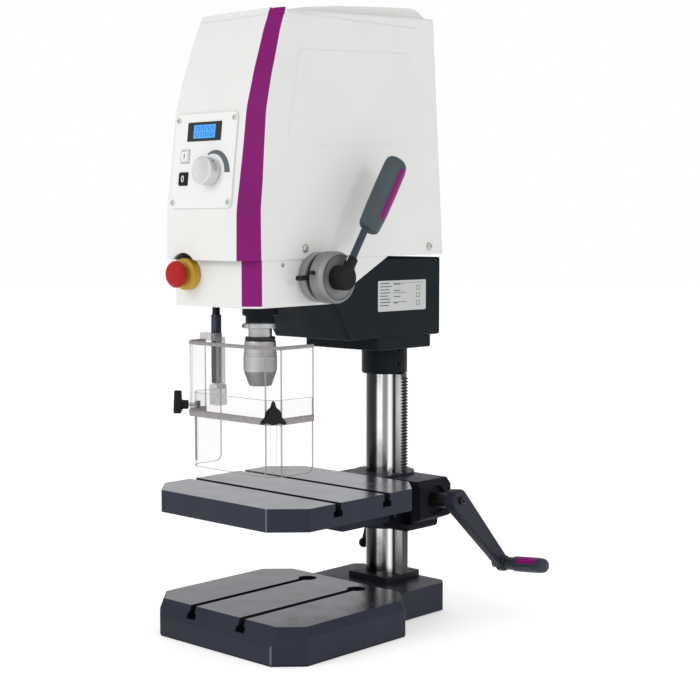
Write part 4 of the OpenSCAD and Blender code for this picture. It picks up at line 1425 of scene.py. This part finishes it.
lever_hub = turned(
    "lever_hub", [(0, -8), (5, -8), (5, 0), (10, 0), (10, 10.5, 1.5), (8.8, 12, 0.8), (0, 12)], 4, 64,
    along((-54, 44, 180), (-1, 0, 0)),
)
stud = rod("stud", 4.97, (-55, 44, 180), (18, 44, 180), 48)
CLAMP = shift(-60, 44, 180) @ turn(162, "X")
bar = lathe("bar", [(0, 2), (4.4, 2), (4.0, 60), (4.4, 86), (0, 86)], 48, CLAMP)
ball_pts = [(0, -8.5)] + [
    (8.5 * math.sin(math.radians(a)), -8.5 * math.cos(math.radians(a)))
    for a in range(10, 180, 10)
] + [(0, 8.5)]
ball = lathe("ball", ball_pts, 64, CLAMP @ shift(0, 0, 92))
paint(lever_hub, BLACK)
paint(stud, BLACK_STEEL)
paint(bar, BLACK_STEEL)
paint(ball, BLACK)
done(
    together("clamp_lever_v", [lever_hub, stud, bar, ball]), "clamp_lever",
    ["clamp_lever"],
)

# ---------------------------------------------------------------- feed hub and lever

flange = turned(
    "feed_flange_v",
    [
        (8.1, 82.3), (23.4, 82.3), (23.4, 88.6), (35.8, 88.6), (36.9, 90, 1), (36.9, 98.4, 1.5),
        (35.2, 99.9, 0.8), (8.1, 99.9),
    ],
    5, 144, FEED,
)
done(paint(flange, FLANGE), "frame", ["feed_flange"])
drum = turned(
    "drum",
    [
        (8.05, 100.5), (32.9, 100.5), (32.9, 109.1), (37.2, 109.1), (38.4, 110.4, 1), (38.4, 128.5, 4),
        (36.4, 133.4, 2.2), (33.8, 133.9, 1), (31.5, 131.6, 2), (27, 130.2, 3), (8.05, 130.1),
    ],
    6, 144, FEED,
)
cut(
    drum, rod("clamp_way", 3.05, (104.7, -290, 553.5), (104.7, -269, 553.5), 32),
    rod("pinch_way", 3.05, (118, -293, 561.5), (118, -276, 561.5), 32),
)
paint(drum, DRUM, BLACK_STEEL)
paint_where(drum, 1, lambda c, n: c.x < 108.9)
done(drum, "feed", ["feed_drum"])
clamp = turned(
    "clamp", [(0, -14), (2.9, -14), (2.9, 0), (3.9, 0), (3.9, 23.4, 0.8), (3.0, 24.6, 0.4), (0, 24.6)], 4,
    48, along((104.7, -283.2, 553.5), (0, -1, 0)),
)
cut(clamp, plug("hex", 2.1, 20, 30, 6, along((104.7, -283.2, 553.5), (0, -1, 0))))
done(paint(clamp, BLACK_STEEL), "feed", ["depth_clamp"])

LEVER = shift(143, FEED_Y, FEED_Z) @ turn(-33, "X")
cap = turned(
    "cap", [(0, 130.2), (18.4, 130.2), (18.4, 150.5, 2.5), (15.8, 152.9, 2), (0, 152.9)], 6, 120, FEED,
)
socket = turned(
    "socket", [(0, 8), (8.9, 8), (8.9, 32.6, 1), (7.6, 34, 0.6), (5.6, 34), (5.6, 30), (0, 30)], 4, 72,
    LEVER,
)
union(cap, socket)
cut(cap, plug("arm_way", 5.54, 10.5, 45, 64, LEVER))
bevel(cap, 0.6, 2, 40)
paint(cap, BLACK)
pinch = socket_screw(
    "pinch", 3.0, 6.5, 2.9, 10, along((118, -289.5, 561.5), (0, -1, 0)), 1.5, 0.15, BLACK_STEEL,
)
ticks = []
for a in (200, 235, 270):
    ticks.append(
        paint(saddle_patch("tick", ((0, 8.9),), 24.5, 31.5, a - 5, a + 5, 0.3, 0.12, LEVER, 0.5), PALE)
    )
done(together("cap_v", [cap, pinch] + ticks), "feed", ["feed_cap"], 35)
arm_rod = lathe("arm_rod", [(0, 11.2), (5.45, 11.2), (5.45, 100), (5.45, 120.8), (0, 120.8)], 64, LEVER)
done(paint(arm_rod, SLATE_DARK), "feed", ["lever_arm"])
LEVER_GRIP = (
    (86, 8.4), (89, 11.6), (95, 12.9), (120, 13.6), (160, 13.9), (196, 13.6), (204, 12.7), (208, 10.4),
    (210, 6.0),
)
OVAL = LEVER @ shift(0, 5.5, 0) @ Matrix.Diagonal((1.1, 1.46, 1, 1))
grip = turned(
    "grip",
    [
        (0, 86), (8.4, 86, 1.5), (11.6, 89, 2.5), (12.9, 95, 6), (13.6, 120, 20), (13.9, 160, 30),
        (13.6, 196, 8), (12.7, 204, 4), (10.4, 208, 3), (6, 210, 2), (0, 210.4),
    ],
    6, 128, OVAL,
)
cut(
    grip, saddle_patch("recess", LEVER_GRIP, 107.8, 198.2, -6.0, 84.0, 2.0, 3.0, OVAL, 5.0),
    plug("arm_seat", 5.5, 80, 121, 64, LEVER),
)
done(paint(grip, SLATE), "feed", ["lever_grip"], 35)
inlay = saddle_patch("lever_inlay_v", LEVER_GRIP, 108.1, 197.9, -5.2, 83.2, 1.8, 0.3, OVAL, 5.0)
done(paint(inlay, MAGENTA), "feed", ["lever_inlay"], 60)

# ---------------------------------------------------------------- quill collar and chuck

ring = turned(
    "ring",
    [(18.05, 475.6), (23.2, 475.6), (24, 476.4, 0.5), (24, 482.7, 0.6), (23.2, 483.4), (18.05, 483.4)], 4,
    128, SPINDLE,
)
lug = box("lug", (-8.0, -309.0, 475.8), (1.5, -302, 483.2))
bevel(lug, 1.6, 3)
union(ring, lug)
cut(
    ring, plug("quill_way", 18.05, 470, 490, 128, SPINDLE),
    box("split", (-4.6, -320, 470), (-3.4, -299.5, 490)),
)
bevel(ring, 0.3, 2, 40)
paint(ring, SATIN)
ring_screw = socket_screw(
    "ring_screw", 3.4, 4.0, 1.6, 8, along((-8.1, -305.2, 479.5), (-1, 0, 0)), 1.6, 0.2, BLACK_STEEL,
)
done(together("quill_collar_v", [ring, ring_screw]), "quill", ["quill_collar"])

core = turned(
    "core",
    [
        (6.05, 389.2), (13.6, 389.2), (14.35, 390, 0.5), (14.35, 403), (17.9, 403.4), (17.9, 457.1),
        (22.2, 457.1), (22.9, 457.9, 0.5), (22.9, 461.7, 0.5), (22.2, 462.5), (9.05, 462.5),
        (9.05, 424.1), (6.05, 424.1),
    ],
    4, 128, SPINDLE,
)
cuts = []
for k in range(3):
    spot = SPINDLE @ turn(90 + 120 * k, "Z") @ shift(8.4, 0, 391) @ turn(15, "Y")
    cuts.append(plug("jaw_way", 2.4, -8, 32, 40, spot))
    jaw = turned(
        "jaw",
        [(0, 0.02), (0.9, 0.02), (1.9, 1.4, 0.3), (2.25, 3.2, 1), (2.25, 23.4), (1.8, 23.9), (0, 23.9)],
        4, 48, spot,
    )
    paint(jaw, TURNED)
    done(jaw, "jaw_" + "abc"[k], ["jaw_" + "abc"[k]])
cut(core, *cuts)
done(paint(core, BLACK_STEEL), "spindle", ["chuck_core"])


def knurled(r, z, a):
    """The sleeve's fine upright ribs."""
    if r > 23 and (438.6 < z < 455.0 or 415.5 < z < 433.6):
        return r - 0.22 * (0.5 + 0.5 * math.cos(60 * a)) ** 2
    return r


sleeve = turned(
    "sleeve",
    [
        (14.7, 388.6), (16.4, 388.6), (17.4, 389.6, 0.6), (18.0, 391.4), (20.6, 399, 10),
        (23.7, 406.6, 3), (24.7, 410.5), (24.9, 410.9), (25.4, 413.4, 1), (25.45, 415.4), (25.45, 415.6),
        (25.45, 424), (25.45, 433.5), (25.45, 433.8), (25.0, 434.4), (24.6, 434.6), (24.6, 435.8),
        (25.0, 436.2), (25.2, 437, 0.4), (25.0, 438.4), (24.3, 438.7), (24.1, 447), (23.9, 454.8),
        (23.9, 455.2), (23.4, 456.5, 0.6), (18.25, 456.5), (18.25, 402.2), (14.7, 402.2),
    ],
    3, 360, SPINDLE, flute=knurled,
)
paint(sleeve, CHUCK, CHUCK_CONE)
paint_where(sleeve, 1, lambda c, n: c.z < 411.5)
done(sleeve, "chuck_sleeve", ["chuck_sleeve"], 30)

# ---------------------------------------------------------------- guard

bracket = union(
    soft_prism(
        "bracket", [(-80.8, -312.8, 6), (-39, -312.8, 1), (-39, -295.2, 1), (-80.8, -295.2, 6)], 4, 536.2,
        551.8,
    ),
    box("drop", (-53.8, -312.8, 517.7), (-18.2, -295.2, 551.3)),
)
cut(
    bracket, rod("post_way", 6.05, (POST_X, POST_Y, 500), (POST_X, POST_Y, 600), 48),
    plug("boss_way", 27.2, 500, 600, 96, SPINDLE),
)
bevel(bracket, 1.0, 2, 40)
done(paint(bracket, CAST_DARK), "frame", ["guard_bracket"], 35)

post = prism("post", window(-78.4, -308.4, -69.6, -299.6, 0.8, 3), 388.2, 519.8)
bevel(post, 0.5, 2, 40)
tube = prism("tube", window(-79.9, -309.9, -68.1, -298.1, 1.2, 3), 388.2, 493.8)
bevel(tube, 0.4, 2, 40)
pin = turned(
    "pin",
    [
        (0, 519.2), (5.95, 519.2), (5.95, 552.5), (7.7, 552.5), (7.7, 556.8, 0.6), (6.6, 557.2),
        (5.9, 557.4), (5.9, 558.2), (5.2, 558.9), (0, 558.9),
    ],
    3, 64, shift(POST_X, POST_Y, 0),
)
paint(post, BLACK)
paint(tube, SLATE_DARK)
paint(pin, BLACK_STEEL)
done(together("guard_post_v", [post, tube, pin]), "guard", ["guard_post"])


def guard_line(w, front, back_r, back_l, d, ch=16.0):
    """The guard's bent plan line, moved out by d."""
    k = 0.414 * d
    return [
        (w + d, back_r), (w + d, front + ch - k), (w - ch + k, front - d), (-w + ch - k, front - d),
        (-w - d, front + ch - k), (-w - d, back_l),
    ]


def bent(name, w, front, back_r, back_l, t, z0, z1, r=2.5):
    """A sheet standing on the guard's plan line, its four bends rounded."""
    outer = guard_line(w, front, back_r, back_l, t / 2)
    inner = guard_line(w, front, back_r, back_l, -t / 2)
    pts = [outer[0]] + [
        p + (r + t,)
        for p in outer[1:5]
    ] + [outer[5], inner[5]] + [p + (r,) for p in inner[4:0:-1]] + [inner[0]]
    return soft_prism(name, pts, 4, z0, z1)


def bends(n):
    """True on a sheet's cut edges and on its bends."""
    flat = max(abs(n.x), abs(n.y), abs(n.x + n.y) * 0.7071, abs(n.x - n.y) * 0.7071)
    return abs(n.z) > 0.5 or flat < 0.992


def screen_corner(back, x0, x1):
    """Rounds the back bottom corner of a screen's wing that ends at back."""
    arc = [math.radians(a) for a in range(0, -91, -9)]
    outline = [(back, 262), (back + 14, 262), (back + 14, 276)]
    outline += [(back - 12 + 12 * math.cos(a), 276 + 12 * math.sin(a)) for a in arc]
    return prism("corner", outline, x0, x1, "x")


parts = []
pane = bent("pane", 98, -350, -268, -305, 2.9, 348, 455)
bevel(pane, 0.5, 2, 60)
paint(pane, CLEAR, CLEAR_EDGE)
paint_where(pane, 1, lambda c, n: bends(n) or (n.y > 0.5 and c.y > -306 and abs(n.x) < 0.3))
parts.append(pane)
for z0, z1, t in ((450.4, 455.9, 3.6), (341.6, 351.4, 4.7)):
    band = bent("band", 98.2, -350.2, -268, -305, t, z0, z1, 2.3)
    bevel(band, 0.7, 2, 60)
    paint(band, CLEAR_EDGE)
    parts.append(band)
gate = box("gate", (-98.6, -316.8, 454.2), (-63, -301.2, 465.8))
block = box("block", (-80.4, -313.8, 355.2), (-60.8, -294.2, 386.9))
strip = box("strip", (-66.4, -311.8, 380.2), (-61.7, -296.2, 459.8))
for o in (gate, block, strip):
    bevel(o, 1.0, 3, 40)
    cut(o, box("tube_way", (-80.05, -310.05, 387.2), (-67.95, -297.95, 500)))
    paint(o, CLEAR_BLOCK)
    parts.append(o)
holes = []
for s in (-1, 1):
    knob_place = shift(s * 90, -342, 357.5) @ turn(s * 45, "Z") @ turn(90, "X")
    holes.append(plug("hole", 3.15, -12, 12, 32, knob_place))
    outline = []
    for k in range(144):
        a = 2 * math.pi * k / 144
        lobe = 12.3 + 9.4 * (0.5 + 0.5 * math.cos(3 * (a - math.pi / 2))) ** 8
        outline.append((lobe * math.cos(a), lobe * math.sin(a)))
    star = prism("star", outline, 14.2, 25.8, "z", knob_place)
    bevel(star, 2.6, 4, 40)
    stem = turned(
        "stem", [(0, 4), (6.2, 4), (7, 5, 0.6), (7, 12, 2), (9.0, 15.5, 2), (0, 15.5)], 4, 64, knob_place,
    )
    union(star, stem)
    paint(star, BLACK)
    nut = lathe(
        "nut", [(0, -13.9), (5.4, -13.9), (5.9, -13.2), (5.9, -9.7), (5.4, -9.1), (0, -9.1)], 48,
        knob_place,
    )
    stud = plug("stud", 2.9, -10, 6, 40, knob_place)
    paint(nut, BLACK)
    paint(stud, ZINC)
    which = "knob_right" if s > 0 else "knob_left"
    done(together(which + "_v", [star, nut, stud]), which, [which], 40)
cut(pane, *holes)
done(together("guard_frame_v", parts), "guard", ["guard_frame"], 30, False)

panes = bent("screen_pane", 93, -345, -264, -278, 2.9, 264.2, 377.3)
cuts = []
for s in (-1, 1):
    bend = shift(s * 85, -337, 0) @ turn(s * 45, "Z")
    cuts.append(prism("slot", window(-4, 272, 4, 362.8, 3.9, 8), -12, 12, "y", bend))
corners = [screen_corner(-264, 80, 110), screen_corner(-278, -110, -80)]
cut(panes, *corners, *cuts)
bevel(panes, 0.5, 2, 50)
paint(panes, CLEAR, CLEAR_EDGE)
paint_where(
    panes, 1, lambda c, n: bends(n) or (abs(n.x) < 0.3 and n.y > 0.5 and c.y > -281) or abs(n.z) > 0.15,
)
for s in (-1, 1):
    d = Vector((s, -1, 0)).normalized()
    paint_where(
        panes, 1,
        lambda c, n: abs(n.dot(Vector((d.y, -d.x, 0)))) > 0.5 and (
            c - Vector((s * 85, -337, c.z))
        ).length < 6,
    )
done(panes, "guard_screen", ["guard_screen"], 30, False)

# ---------------------------------------------------------------- inner pieces kept from the CAD model

INNER = (
    ("quill", TURNED), ("quill_bearing", ZINC), ("spindle", TURNED), ("feed_shaft", TURNED),
    ("motor_bracket", SATIN), ("motor", BLACK), ("motor_pulley", SATIN), ("drive_belt", RUBBER),
    ("pulley_bridge", SATIN), ("spindle_pulley", SATIN), ("lift_gear", RACK), ("gear_pin", TURNED),
)
for name, mat in INNER:
    o = NODES[name]
    o.data.materials.clear()
    o.data.materials.append(mat)
    edges = o.modifiers.new("edges", "BEVEL")
    edges.width = 0.3 * MM
    edges.segments = 2
    edges.limit_method = "ANGLE"
    edges.angle_limit = math.radians(35)
    edges.harden_normals = False
